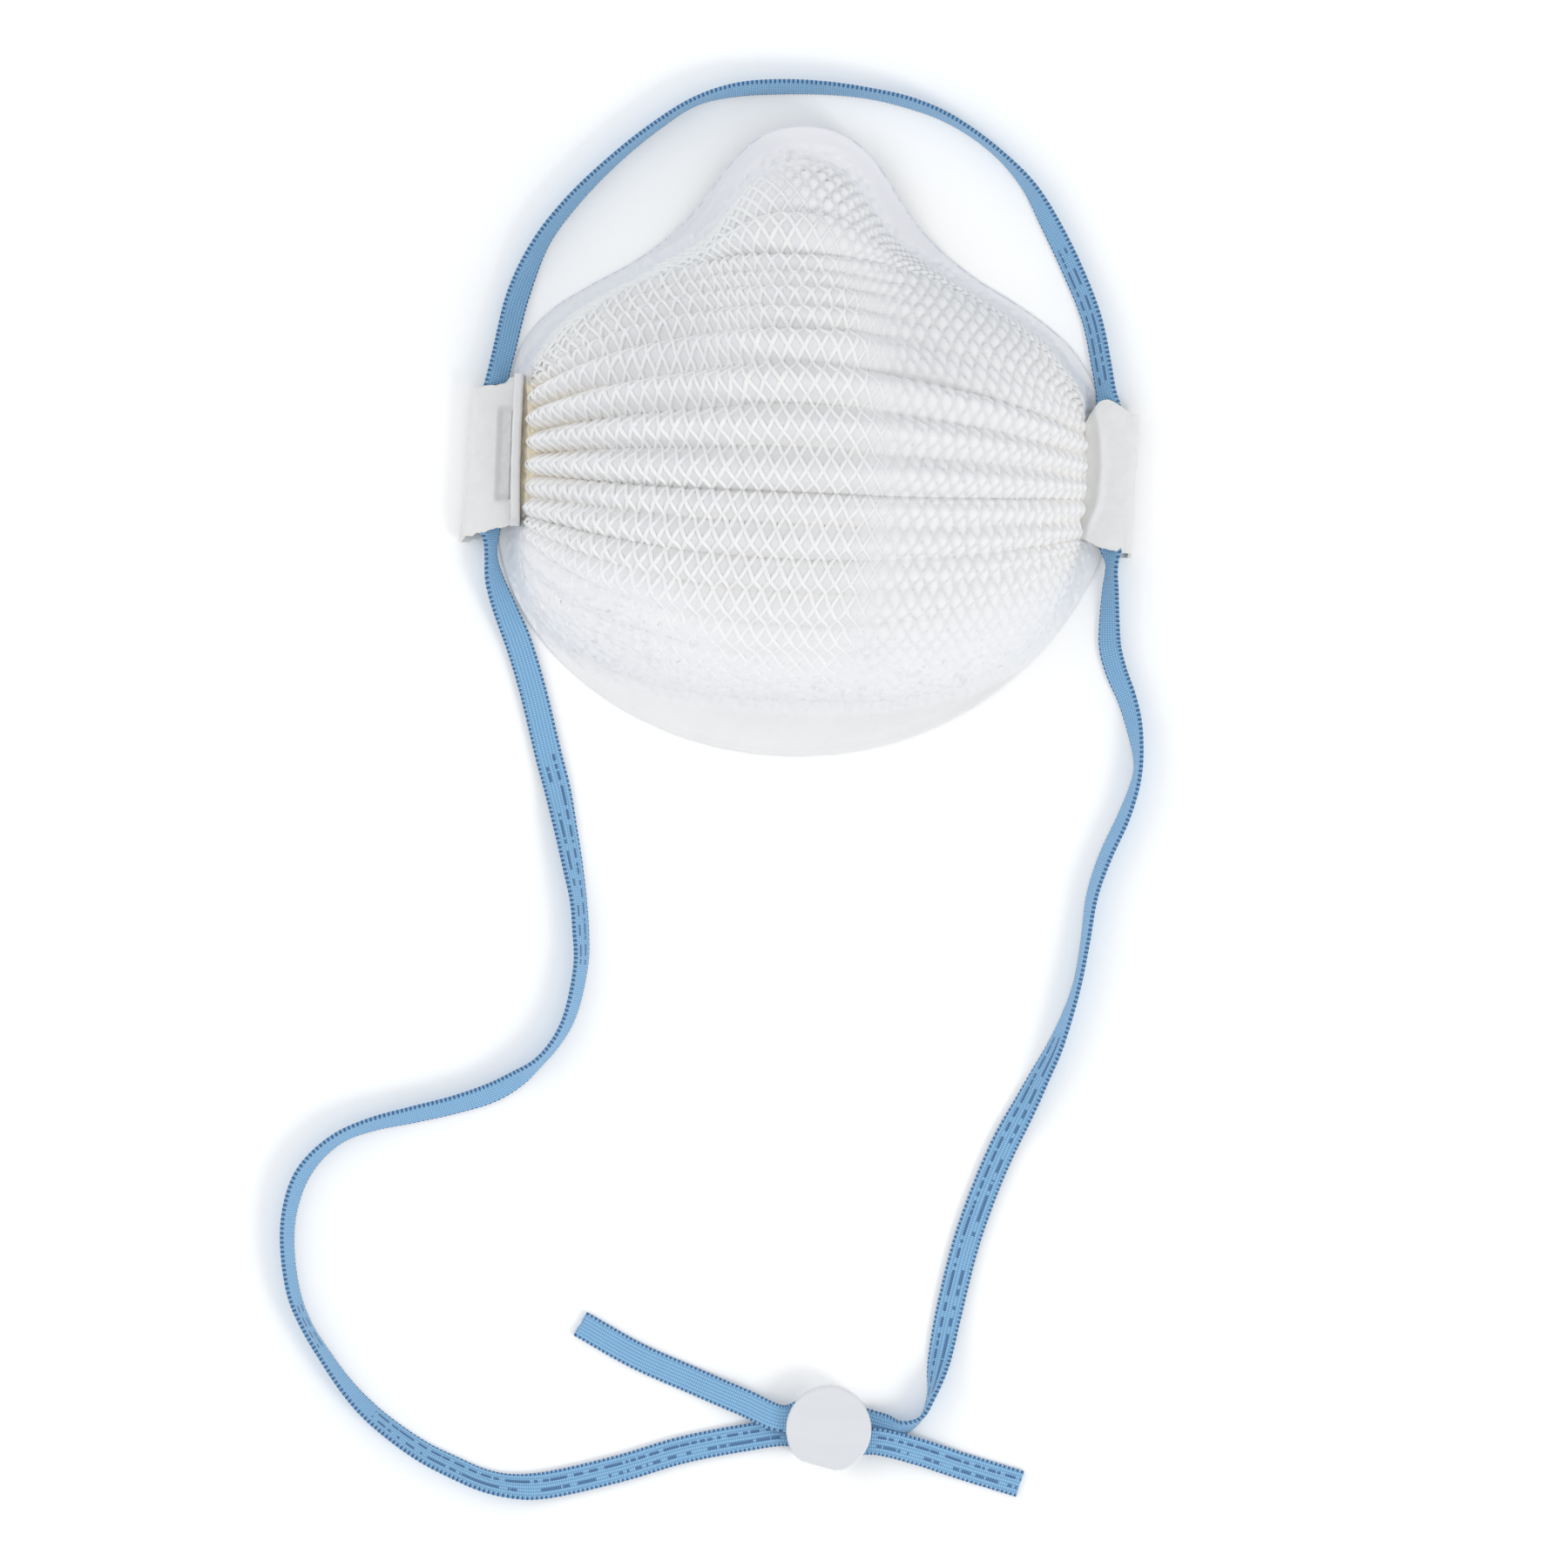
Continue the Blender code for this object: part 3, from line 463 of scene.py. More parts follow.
def make_strap():
    line = smooth_route(ROUTE, 24)
    step = np.concatenate([[0], np.cumsum(np.linalg.norm(np.diff(line[:, :3], axis=0), axis=1))])
    count = int(step[-1] / 0.45)
    at = np.linspace(0, step[-1], count)
    line = np.stack([np.interp(at, step, line[:, k]) for k in range(4)], 1)
    kernel = np.hanning(9)
    kernel /= kernel.sum()
    for k in range(4):
        padded = np.concatenate([np.full(4, line[0, k]), line[:, k], np.full(4, line[-1, k])])
        middle = np.convolve(padded, kernel, "valid")
        line[4:-4, k] = middle[4:-4]
    lean = np.radians(line[:, 3])
    line[:, 2] = np.maximum(line[:, 2], STRAP_WIDTH / 2 * np.sin(lean) + STRAP_THICK / 2 * np.abs(np.cos(lean)) + 0.1)
    tangent = unit(np.gradient(line[:, :3], axis=0))
    lateral = unit(np.cross([0, 0, 1.0], tangent))
    up = np.cross(tangent, lateral)
    side = lateral * np.cos(lean)[:, None] + up * np.sin(lean)[:, None]
    normal = np.cross(tangent, side)
    # section: a flat lens with rounded edges, points spread evenly round it
    w, h = STRAP_WIDTH / 2, STRAP_THICK / 2
    top = [-w + 0.12, -w + 0.5, -2.2, -1.45, -0.72, 0, 0.72, 1.45, 2.2, w - 0.5, w - 0.12]
    section = [(x, h * (0.55 + 0.45 * min(1, (w - abs(x)) / 0.5)) * (1 - 0.04 * (x / w) ** 2)) for x in top] + [(w, 0)]
    section += [(x, -y) for x, y in reversed(section[:-1])] + [(-w, 0)]
    section = np.array(section)
    rib = 0.035 * np.sin(at * 2 * np.pi / 0.95 + 0.0)
    edge_wave = 0.07 * np.sin(at * 2 * np.pi / 1.04)
    pts = []
    for a, b in section:
        out = a + np.sign(a) * (abs(a) > 2.4) * edge_wave
        pts.append(line[:, :3] + side * out[:, None] + normal * (b * (1 + 2 * rib))[:, None] if np.ndim(out)
                   else line[:, :3] + side * out + normal * (b * (1 + 2 * rib))[:, None])
    pts = np.stack(pts, 1)
    rows, cols = pts.shape[:2]
    faces = grid_faces(rows, cols, wrap_cols=True, flip=True)
    # frayed, slightly ragged cut ends
    rag = 0.35 * (hash01(np.arange(cols), np.zeros(cols), 5) - 0.3)
    pts[0] -= tangent[0] * rag[:, None]
    pts[-1] += tangent[-1] * rag[::-1, None]
    all_points = np.concatenate([pts.reshape(-1, 3), [pts[0].mean(0)], [pts[-1].mean(0)]])
    n = rows * cols
    j = np.arange(cols)
    caps = np.concatenate([np.stack([np.full(cols, n), j, (j + 1) % cols], 1),
                           np.stack([np.full(cols, n + 1), (rows - 1) * cols + (j + 1) % cols, (rows - 1) * cols + j], 1)])
    obj = new_mesh("woven_strap", all_points, [faces, caps], STRAP, body=None, slot="elastic")
    attribute(obj, "along", np.concatenate([np.repeat(at, cols), [0, at[-1]]]))
    attribute(obj, "across", np.concatenate([np.tile(section[:, 0], rows), [0, 0]]))
    lx, ly = line[:, 0], line[:, 1]
    printed = (((lx > 34) & (ly < -134) & (ly > -221)) | ((lx < -44) & (lx > -56) & (ly < -74) & (ly > -122)) | ((ly < -227) & (lx < 12))
               | ((lx > 27) & (ly < -226)) | ((lx > 58) & (ly > 16) & (ly < 48)) | ((lx < -29) & (ly < -203) & (ly > -212)))
    attribute(obj, "printed", np.concatenate([np.repeat(printed.astype(float), cols), [0, 0]]))
    attribute(obj, "face", np.concatenate([np.tile((section[:, 1] > 0).astype(float), rows), [0, 0]]))
    return obj, line, at[-1]


strap, strap_line, STRAP_LENGTH = make_strap()
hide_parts("head_strap")

# =============================================================== the cup's surface
CUP_HALF_WIDTH, CUP_DEPTH, RIM_Z, NOSE_RISE = 64.6, 47.0, 1.5, 9.6
TAB_EDGE_LOW, TAB_EDGE_HIGH = -22.5, 12.5
TOP_RIM = [(0, 64.5), (5, 63.9), (9, 62.0), (13, 58.0), (17, 52.3), (21, 47.3), (26, 43.6),
           (31, 40.8), (37, 37.2), (45.8, 32.0), (54.7, 25.8), (60.1, 20.0), (63.0, 16.0), (64.6, 12.5)]
FLANGE_TOP = [(0, 72.1), (5, 71.5), (10, 69.7), (15, 65.7), (19, 60.6), (23, 54.6), (28, 48.6), (34, 43.2),
              (41, 38.4), (48, 34.4), (55, 30.0), (61, 24.8), (65.5, 18.2), (68.5, 10.0), (70.2, 0.0)]
SIDE_PROFILE = [(-60, 0), (-59.2, 5.0), (-57.5, 11.5), (-54.5, 18.6), (-50, 25.6), (-43, 32.6), (-34, 38.4),
                (-22, 43.2), (-8, 46.2), (2, 46.9), (12, 45.9), (20, 43.0), (27, 38.4), (33, 32.6), (38, 27.2),
                (42.5, 23.0), (48, 19.0), (54, 14.0), (60, 7.0), (64.5, 0)]
CREASES = [(42.0, 11.8, 2.7, 0), (37.9, 11.3, 2.8, 0), (34.6, 10.6, 2.8, 0), (30.0, 9.8, 2.7, 0),
           (25.4, 8.2, 2.4, 0), (17.1, 4.3, 2.1, 0), (7.2, -0.7, 2.0, 0), (-2.9, -5.5, 2.0, 0),
           (-13.5, -10.5, 2.1, 0), (-19.9, -15.2, 2.1, 0), (-28.5, -19.6, 2.1, 0), (-35.9, -20.8, 2.2, 0.15),
           (-43.3, -21.5, 2.2, 0.4), (-49.9, -22.0, 2.2, 0.7)]
# How strongly each ridge stands, from the one above crease 1 down.
RIDGE_SCALE = [0.8, 0.8, 0.95, 1.05, 1.15, 1.2, 1.15, 1.15, 0.8, 0.95, 0.8, 0.7, 0.5]


def chin_shape(s):
    return np.clip(1 - np.abs(s) ** 2.5, 0, 1) ** 0.42


def rim_low(x):
    return TAB_EDGE_LOW + (-60.0 - TAB_EDGE_LOW) * chin_shape(np.asarray(x) / CUP_HALF_WIDTH)


def rim_high(x):
    return through(np.abs(x), TOP_RIM)


def nose_lift(x, y):
    t = np.clip((np.asarray(y, float) - 26) / 32, 0, 1)
    return NOSE_RISE * np.exp(-(np.asarray(x, float) / 23) ** 2) * t * t * (3 - 2 * t)


def dome(x, share):
    x, share = np.broadcast_arrays(np.asarray(x, float), np.asarray(share, float))
    s = np.clip(np.abs(x) / CUP_HALF_WIDTH, 0, 1)
    low, high = rim_low(x), rim_high(x)
    y = low + (high - low) * share
    centre = through(-60 + 124.5 * share, SIDE_PROFILE) / 46.9
    arch = np.maximum(0.0, 1 - np.abs(2 * share - 1) ** 2.7) ** 0.7
    mixing = smooth(0.3, 0.9, s)
    height = CUP_DEPTH * np.maximum(0.0, 1 - s ** 2.1) ** 0.66
    base = RIM_Z + nose_lift(x, high) * share ** 3
    return np.stack([x, y, base + height * (centre * (1 - mixing) + arch * mixing)], -1)


def outward(x, share):
    e, f, inside = 0.05, 0.002, CUP_HALF_WIDTH - 0.35
    x = np.clip(x, -inside, inside)
    share = np.clip(share, 0.012, 0.988)
    return unit(np.cross(dome(x + e, share) - dome(x - e, share), dome(x, share + f) - dome(x, share - f)))


def crease_y(k, x):
    centre, edge, full, rim_part = CREASES[k]
    s = np.clip(np.abs(x) / CUP_HALF_WIDTH, 0, 1)
    return edge + (centre - edge) * ((1 - s ** full) * (1 - rim_part) + chin_shape(s) * rim_part)


def cup_rows(x, ridge_steps, low_steps, high_steps):
    """(y, ridge height, warm tint of painted crease shade, zone) of every row on the columns x, chin to nose. Rows run
    first.
    """
    s = np.abs(x) / CUP_HALF_WIDTH
    low, high, last = rim_low(x), rim_high(x), len(CREASES) - 1
    finger = np.sqrt(np.clip(1 - np.clip((-x - 60.6) / 3.7, 0, 1) ** 2, 0, 1))  # on -X the ridges end in rounded fingers
    power = 1.15 - 0.3 * smooth(28, 52, -x)
    ys, hs, warm, melt = [], [], [], []
    first = crease_y(last, x)
    matted = smooth(6, 38, -x)  # the net is pressed furthest into the web on the lower -X side
    for f in np.linspace(0, 1, low_steps, endpoint=False) ** 1.25:
        ys.append(low + (first - low) * f)
        hs.append(-0.9 * np.exp(-((1 - f) * (first - low) / 1.3) ** 2) * 0.4 + 0 * x)
        warm.append(0.0 * x)
        melt.append(1 - (0.55 - 0.3 * matted) * f)
    for k in range(last, 0, -1):
        y, above = crease_y(k, x), crease_y(k - 1, x)
        width = above - y
        amp = np.minimum(1.75, (0.17 + 0.16 * s ** 4) * width) * RIDGE_SCALE[k - 1]
        # Along the upper right side the shallow upper creases fade away.
        if k <= 5:
            amp = amp * (1 - 0.8 * smooth(4, 32, x))
        amp = amp * (0.25 + 0.75 * finger) * (1 - 0.38 * smooth(22, 60, x)) * (1 - 0.6 * smooth(56, 64.6, x))
        for f in np.linspace(0, 1, ridge_steps, endpoint=False):
            round_ = np.sin(np.pi * (0.5 - 0.5 * np.cos(np.pi * f)) * 0.35 + np.pi * f * 0.65) ** power
            ys.append(y + width * f)
            hs.append(amp * (2 * round_ - 1) - (1 - finger) * 0.6)
            # warm: a tan tint painted as shade near each crease, strongest in the pocket between the fingers by the
            # left tab and on the creases towards the right tab
            near = np.exp(-(np.minimum(f, 1 - f) * width / 0.9) ** 2)
            pocket = smooth(-57, -62, x) * smooth(-22, -12, y) * smooth(14, 8, y)
            warm.append(np.clip(near * (0.06 + 0.5 * smooth(-42, -62, x) * smooth(-24, -8, y) * smooth(14, 8, y) + 0.2 * smooth(50, 63, x))
                                + pocket * (1 - finger) * 1.3, 0, 1))
            zone = np.clip(1 - (last - k + f) / 2.2, 0, 1)
            melt.append((0.45 + 0.3 * matted) * zone + 0.35 * matted * np.clip(1 - (last - k + f) / 3.4, 0, 1))
    # Above the last full crease stand one broad ridge, its brow line, and the tip of the nose.
    y = crease_y(0, x)
    span, brow = high - y, 0.43
    ledge = (1 - smooth(1, 15, x)) * (1 - smooth(14, 27, -x))
    right = 1 - 0.85 * smooth(2, 22, x)
    for f in np.linspace(0, 1, high_steps):
        ys.append(y + span * f)
        small = np.minimum(1.0, 0.1 * span)
        crease = -np.minimum(1.1, 0.2 * span) * np.exp(-(f * span / 1.2) ** 2) * right
        below = (0.9 + 1.2 * ledge) * np.sin(np.pi * min(1.0, f / brow)) ** 0.7 * (f < brow)
        above = (0.3 + 0.9 * ledge) * np.sin(np.pi * max(0.0, f - brow) / (1 - brow)) ** 0.8
        valley = -0.75 * ledge * np.exp(-((f - brow) * span / 0.9) ** 2)
        hs.append(crease + small * (below + above + valley))
        warm.append(0.0 * x)
        melt.append(np.full_like(x, smooth(0.82, 1.0, f)))
    return np.array(ys), np.array(hs), np.array(warm), np.array(melt)


def columns(count):
    """Columns closer together towards the tabs, where the cup falls away."""
    return CUP_HALF_WIDTH * np.sin(np.linspace(-1, 1, count) * np.pi / 2 * 0.93) / math.sin(np.pi / 2 * 0.93)


def cup_surface(count, ridge_steps, low_steps, high_steps):
    x = columns(count)
    y, h, warm, melt = cup_rows(x, ridge_steps, low_steps, high_steps)
    xx = np.broadcast_to(x, y.shape)
    low, high = rim_low(x), rim_high(x)
    share = np.clip((y - low) / (high - low), 0, 1)
    n = outward(xx, share)
    base = dome(xx, share)
    edge = np.minimum(1.0, np.minimum(share, 1 - share) / 0.05)[..., None]
    flat = unit(n * np.concatenate([np.ones_like(edge), np.ones_like(edge), 0.25 + 0.75 * edge], -1))
    floor = RIM_Z - 0.5 + nose_lift(xx, np.broadcast_to(high, y.shape)) * share ** 3

    def at(extra, depth):
        p = base + n * (h + extra)[..., None] - flat * depth
        p[..., 2] = np.maximum(p[..., 2], floor)
        return p

    return x, share, warm, melt, base, n, at


def skewed(p):
    """The moulding leans a little: its middle rows sit to +X of its nose and chin."""
    p = np.array(p, float)
    p[..., 0] += -1.6 + 3.0 * np.exp(-((p[..., 1] + 6) / 28) ** 2)
    return p


def normals_of(p):
    return unit(np.cross(np.gradient(p, axis=1), np.gradient(p, axis=0)))


def make_cup():
    x, share, warm, melt, base, n, at = cup_surface(331, 16, 34, 52)
    rows = share.shape[0]
    plain = at(np.zeros_like(share), 0.0)
    # net coordinates: u along the rows, v along the middle column
    u = np.concatenate([np.zeros((rows, 1)), np.cumsum(np.linalg.norm(np.diff(base, axis=1), axis=-1), axis=1)], 1)
    u -= u[:, [len(x) // 2]]
    mid = plain[:, len(x) // 2]
    v = np.concatenate([[0], np.cumsum(np.linalg.norm(np.diff(mid, axis=0), axis=1))])
    v -= v[int(np.argmin(np.abs(mid[:, 1] + 8)))]
    s = np.abs(x) / CUP_HALF_WIDTH
    # The net's mesh is tighter on the tip of the nose and round the chin.
    closer = 1 + 0.25 * smooth(45, 54, mid[:, 1]) + 0.2 * smooth(-38, -50, mid[:, 1])
    v = np.concatenate([[0], np.cumsum(np.diff(v) * (closer[1:] + closer[:-1]) / 2)])
    v -= v[int(np.argmin(np.abs(mid[:, 1] + 8)))]
    vv = v[:, None] * (1 - 0.42 * s ** 2)
    P, Q = 3.6, 7.2
    # a slow wander keeps the net from being ruled
    wander = 0.10 * fbm(u / 14, vv / 14, 3) + 0.05 * fbm(u / 4, vv / 4, 9)
    one, two = u / P + vv / Q + wander, u / P - vv / Q + wander
    # On the left the strands stand proud of a flat web; on the right the web swells up between them.
    a = np.abs(np.sin(np.pi * one)) * np.abs(np.sin(np.pi * two))
    swell = smooth(-12, 34, base[..., 0] + 0.8 * np.maximum(base[..., 1] - 30, 0) + 0 * a)
    sunk = smooth(0.42, 0.95, swell)  # the strands stay in sight until the web stands well above them
    pillow = -0.30 - 0.22 * swell + (0.08 + 0.92 * swell) * a ** 0.5
    pillow = pillow * (1 + 0.6 * smooth(42, 52, base[..., 1]))
    grains = fbm(base[..., 0] / 1.0, (base[..., 1] + base[..., 2]) / 1.0, 21, 2)
    rough = melt ** 0.8
    bumps = pillow * (1 - 0.85 * rough) + 0.62 * grains * rough + 0.05 * fbm(u / 1.6, vv / 1.6, 33)
    outer = skewed(at(bumps, 0.0))
    inner = skewed(at(np.zeros_like(share), 0.55))
    cover = closed_sheet("cover_fabric", outer, inner, COVER, slot="web")
    attribute(cover, "warm", np.concatenate([warm.ravel(), 0 * warm.ravel()]))
    attribute(cover, "melt", np.concatenate([smooth(0.0, 0.7, melt).ravel(), 0 * melt.ravel()]))
    # painted highlight: the swollen web cells are painted lighter over their tops, away from the strands
    painted_top_highlight = sunk * np.clip(a * 1.6, 0, 1)
    attribute(cover, "swell", np.concatenate([painted_top_highlight.ravel(), 0 * painted_top_highlight.ravel()]))
    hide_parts("cover_web")

    normal = normals_of(plain)
    normal = np.where((normal * n).sum(-1, keepdims=True) < 0, -normal, normal)
    ring = [(-1.0, -0.6), (-0.74, 0.05), (-0.42, 0.72), (0.0, 1.0), (0.42, 0.72), (0.74, 0.05), (1.0, -0.6)]
    w = len(ring)
    for name, phase, lift in (("net_strands_upper", one, 0.10), ("net_strands_lower", two, 0.0)):
        phase = np.maximum.accumulate(phase, axis=1)
        first, last = int(math.ceil(phase.min())), int(math.floor(phase.max()))
        pts_all, faces_all, caps_all, warm_all, swell_all, start = [], [], [], [], [], 0
        col = np.arange(len(x))
        for k in range(first, last + 1):
            inside = (phase[:, 0] < k) & (phase[:, -1] > k)
            runs = np.flatnonzero(np.diff(np.concatenate([[0], inside.view(np.int8), [0]])))
            for r0, r1 in zip(runs[::2], runs[1::2]):
                if r1 - r0 < 4:
                    continue
                j = np.arange(r0, r1)
                c = np.array([np.interp(k, phase[r], col) for r in j])
                i0 = np.clip(c.astype(int), 0, len(x) - 2)
                t = (c - i0)[:, None]
                p = plain[j, i0] * (1 - t) + plain[j, i0 + 1] * t
                nn = unit(normal[j, i0] * (1 - t) + normal[j, i0 + 1] * t)
                wm = warm[j, i0]
                ml = melt[j, i0]
                d = unit(np.gradient(p, axis=0))
                across = unit(np.cross(d, nn))
                sw = sunk[j, i0]
                fade = (1 - 0.8 * ml ** 0.8) * (1 - 0.6 * smooth(61.5, 64.3, np.abs(p[:, 0]))) * (1 - 0.7 * sw)
                ends = np.minimum(1, np.minimum(np.arange(len(j)), np.arange(len(j))[::-1]) / 3.0)
                wide = (0.61 + 0.06 * smooth(40, 52, p[:, 1])) * (1 + 0.25 * (noise(j / 5.0, np.full(len(j), k), 7) - 0.5)) * (0.4 + 0.6 * ends) * (1 - 0.25 * sw)
                tall = (0.43 + 0.08 * smooth(40, 52, p[:, 1])) * fade * (0.5 + 0.5 * ends)
                centre = p + nn * (lift * fade - 0.10 - 0.25 * ml - 0.26 * sw)[:, None]
                rr = np.stack([centre + across * (a_ * wide)[:, None] + nn * (b_ * tall)[:, None] for a_, b_ in ring], 1)
                pts_all.append(rr.reshape(-1, 3))
                warm_all.append(np.repeat(wm, w))
                swell_all.append(np.repeat(sw, w))
                faces_all.append(grid_faces(len(j), w, start, wrap_cols=True))
                m = start + (len(j) - 1) * w
                fan = np.arange(1, w - 1)
                caps_all.append(np.stack([0 * fan + start, start + fan + 1, start + fan], 1))
                caps_all.append(np.stack([0 * fan + m, m + fan, m + fan + 1], 1))
                start += len(j) * w
        obj = new_mesh(name, skewed(np.concatenate(pts_all)), [np.concatenate(faces_all), np.concatenate(caps_all)], NET, slot="netting")
        # painted shade: the crease tint and, through swell, the darker tone of sunk strands
        attribute(obj, "warm", np.concatenate(warm_all) * 0.7)
        attribute(obj, "swell", np.concatenate(swell_all))
    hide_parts("outer_mesh_shell")

    x, share, warm, melt, base, n, at = cup_surface(150, 8, 14, 16)
    zero = np.zeros_like(share)
    felt = closed_sheet("filter_felt", skewed(at(zero - 0.1, 1.0)), skewed(at(zero, 1.9)), FELT, slot="filter")
    attribute(felt, "warm", np.zeros(2 * zero.size))
    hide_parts("filter_media")
    pleat = 0.12 * fbm(base[..., 0] / 6, base[..., 1] / 3, 41)
    lining = closed_sheet("lining_fabric", skewed(at(zero - 0.1, 2.35)), skewed(at(pleat, 2.75)), LINING, slot="web")
    attribute(lining, "warm", np.zeros(2 * zero.size))
    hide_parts("inner_lining")


make_cup()


# =============================================================== nose foam
def make_foam():
    half, cols, rows = 27.0, 49, 17
    x = np.linspace(-half, half, cols)
    top, bottom = rim_high(x) - 1.8, crease_y(1, x) + 0.4
    f = np.linspace(0.03, 0.93, rows)[:, None]
    y = bottom + (top - bottom) * f
    low, high = rim_low(x), rim_high(x)
    share = np.clip((y - low) / (high - low), 0, 1)
    xx = np.broadcast_to(x, y.shape)
    n, base = outward(xx, share), dome(xx, share)
    a = np.linspace(-1, 1, cols)[None, :]
    b = np.linspace(-1, 1, rows)[:, None]
    crown = np.clip((1 - np.abs(a) ** 6) * (1 - np.abs(b) ** 4), 0, 1) ** 0.5
    soft = 0.15 * fbm(xx / 7, y / 7, 51)
    outer = base - n * (3.9 + 0 * crown)[..., None]
    inner = base - n * (4.3 + (2.7 + soft) * crown)[..., None]
    obj = closed_sheet("nose_foam_pad", skewed(outer), skewed(inner), FOAM, slot="foam")
    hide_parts("nose_cushion")
    return obj


foam = make_foam()

# =============================================================== face flange
CHIN_CENTRE_Y, CHIN_HALF_X, CHIN_HALF_Y = -10.0, 71.2, 62.2


def polar(outline, angles):
    p = np.array(outline) - (0, -8.0)
    a, r = np.arctan2(p[:, 1], p[:, 0]), np.hypot(p[:, 0], p[:, 1])
    order = np.argsort(a)
    return np.interp(angles, a[order], r[order], period=2 * math.pi)


def fold_heap(x, y):
    """Where the web runs up to the tab's fold: a raised heap, with a tan tint painted on it as shade."""
    r = np.abs(x)
    return smooth(60.8, 61.8, r) * smooth(67.6, 66.2, r) * smooth(-21, -17, y) * smooth(13.5, 9, y) * (x < 0)


def make_flange():
    xs = np.linspace(0, 70.2, 281)
    top = np.stack([xs, through(xs, FLANGE_TOP)], 1)
    t = np.linspace(0, math.pi / 2, 180)
    chin = np.stack([CHIN_HALF_X * np.cos(t), CHIN_CENTRE_Y - CHIN_HALF_Y * np.sin(t)], 1)
    half = np.concatenate([top, chin])
    out_line = np.concatenate([half, half * (-1, 1)])
    s = np.sin(np.linspace(0, math.pi / 2, 240)) * CUP_HALF_WIDTH
    half = np.concatenate([np.stack([s, rim_high(s)], 1), np.stack([s, rim_low(s)], 1),
                           np.stack([np.full(40, CUP_HALF_WIDTH), np.linspace(TAB_EDGE_LOW, TAB_EDGE_HIGH, 40)], 1)])
    in_line = np.concatenate([half, half * (-1, 1)])
    steps, across = 900, 40
    th = np.arange(steps) * 2 * math.pi / steps
    th = np.where(th > math.pi, th - 2 * math.pi, th)
    outer = polar(out_line, th) + 0.12 * fbm(th * 30, 0 * th, 61) + 0.10 * fbm(th * 110, 0 * th, 62, 2)
    inner = polar(in_line, th)
    y_in = -8 + inner * np.sin(th)
    inner = inner - 2.9 - 0.6 * (np.cos(th) < 0) * smooth(-21, -17, y_in) * smooth(13.5, 9, y_in)
    k = np.ones(9) / 9
    outer = np.convolve(np.concatenate([outer[-4:], outer, outer[:4]]), k, "valid")
    inner = np.convolve(np.concatenate([inner[-4:], inner, inner[:4]]), k, "valid")
    # Across: up over the outer edge, flat, then a hollow curve climbing the foot of the cup.
    rim = polar(in_line, th)
    width, depth = outer - inner, 1.15
    pts = []
    for inset, z in ((0.35, 0.0), (0.0, 0.35), (0.0, 0.75)):
        r = outer - inset
        x_, y_ = r * np.cos(th), -8 + r * np.sin(th)
        pts.append(np.stack([x_, y_, z + nose_lift(x_, y_)], -1))
    for f in np.linspace(0, 1, across) ** 0.85:
        r = outer - 0.22 - (width - 0.22) * f
        x_, y_ = r * np.cos(th), -8 + r * np.sin(th)
        foot = np.clip(1 - (r - rim) / (3.1 + 1.7 * smooth(48, 62, y_)), 0, 1.25)
        z = depth + (2.3 - 1.5 * smooth(34, 50, y_)) * foot ** 2 - 0.12 * np.exp(-((outer - r - 2.0) / 0.9) ** 2)
        z = z + 0.12 * fbm(x_ / 7, y_ / 7, 63) + 0.05 * fbm(x_ / 1.5, y_ / 1.5, 64) + 0.55 * smooth(0.1, 0.6, foot) * fbm(x_ / 1.15, y_ / 1.15, 65, 2)
        z = z + 2.4 * fold_heap(x_, y_)
        pts.append(np.stack([x_, y_, z + nose_lift(x_, y_)], -1))
    for f in np.linspace(1, 0, 8)[:-1]:
        r = outer - 0.35 - (width - 0.35) * f
        x_, y_ = r * np.cos(th), -8 + r * np.sin(th)
        pts.append(np.stack([x_, y_, nose_lift(x_, y_) + 0 * th], -1))
    pts = np.array(pts)
    faces = grid_faces(pts.shape[0], steps, wrap_rows=True, wrap_cols=True)
    obj = new_mesh("pressed_flange", skewed(pts.reshape(-1, 3)), [faces], FLANGE, slot="flange")
    x_, y_ = pts[..., 0], pts[..., 1]
    # painted shade, growing towards the top and the left of the flange
    upper_shade = smooth(-5, 45, y_ - 0.35 * x_) * 0.55
    attribute(obj, "upper_side_shade", upper_shade)
    # painted shade: the tan tint on the raised heap by the left tab's fold
    attribute(obj, "warm", fold_heap(x_, y_) * 0.8 * (pts[..., 2] > 1.0))
    foot = np.clip(1 - (np.hypot(x_, y_ + 8) - rim) / (3.1 + 1.7 * smooth(48, 62, y_)), 0, 1)
    attribute(obj, "foot", smooth(0.05, 0.5, foot))
    # painted shadow: broken dark dashes on the upper outer edge
    line = np.zeros(pts.shape[:2])
    dash = (noise(th * 95, 0 * th, 71) > 0.42) * (smooth(20, 32, y_[0]) * (y_[0] < 69) + 0.25 * smooth(10, 40, x_[0]) * (y_[0] > 15))
    line[3] = np.clip(dash, 0, 1) * 0.7
    attribute(obj, "edge_shadow_dashes", line)
    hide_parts("face_flange")
    return obj


make_flange()


# =============================================================== strap tabs
def tab_section(side, inner):
    """Stations round the loop: which wall they are on, and how far along it."""
    flat, turn = 34, 9
    return ([("top", f) for f in np.linspace(0, 1, flat)] + [("out", f) for f in np.linspace(0, 1, turn + 2)[1:-1]]
            + [("low", f) for f in np.linspace(1, 0, flat)] + [("in", f) for f in np.linspace(0, 1, turn + 2)[1:-1]])


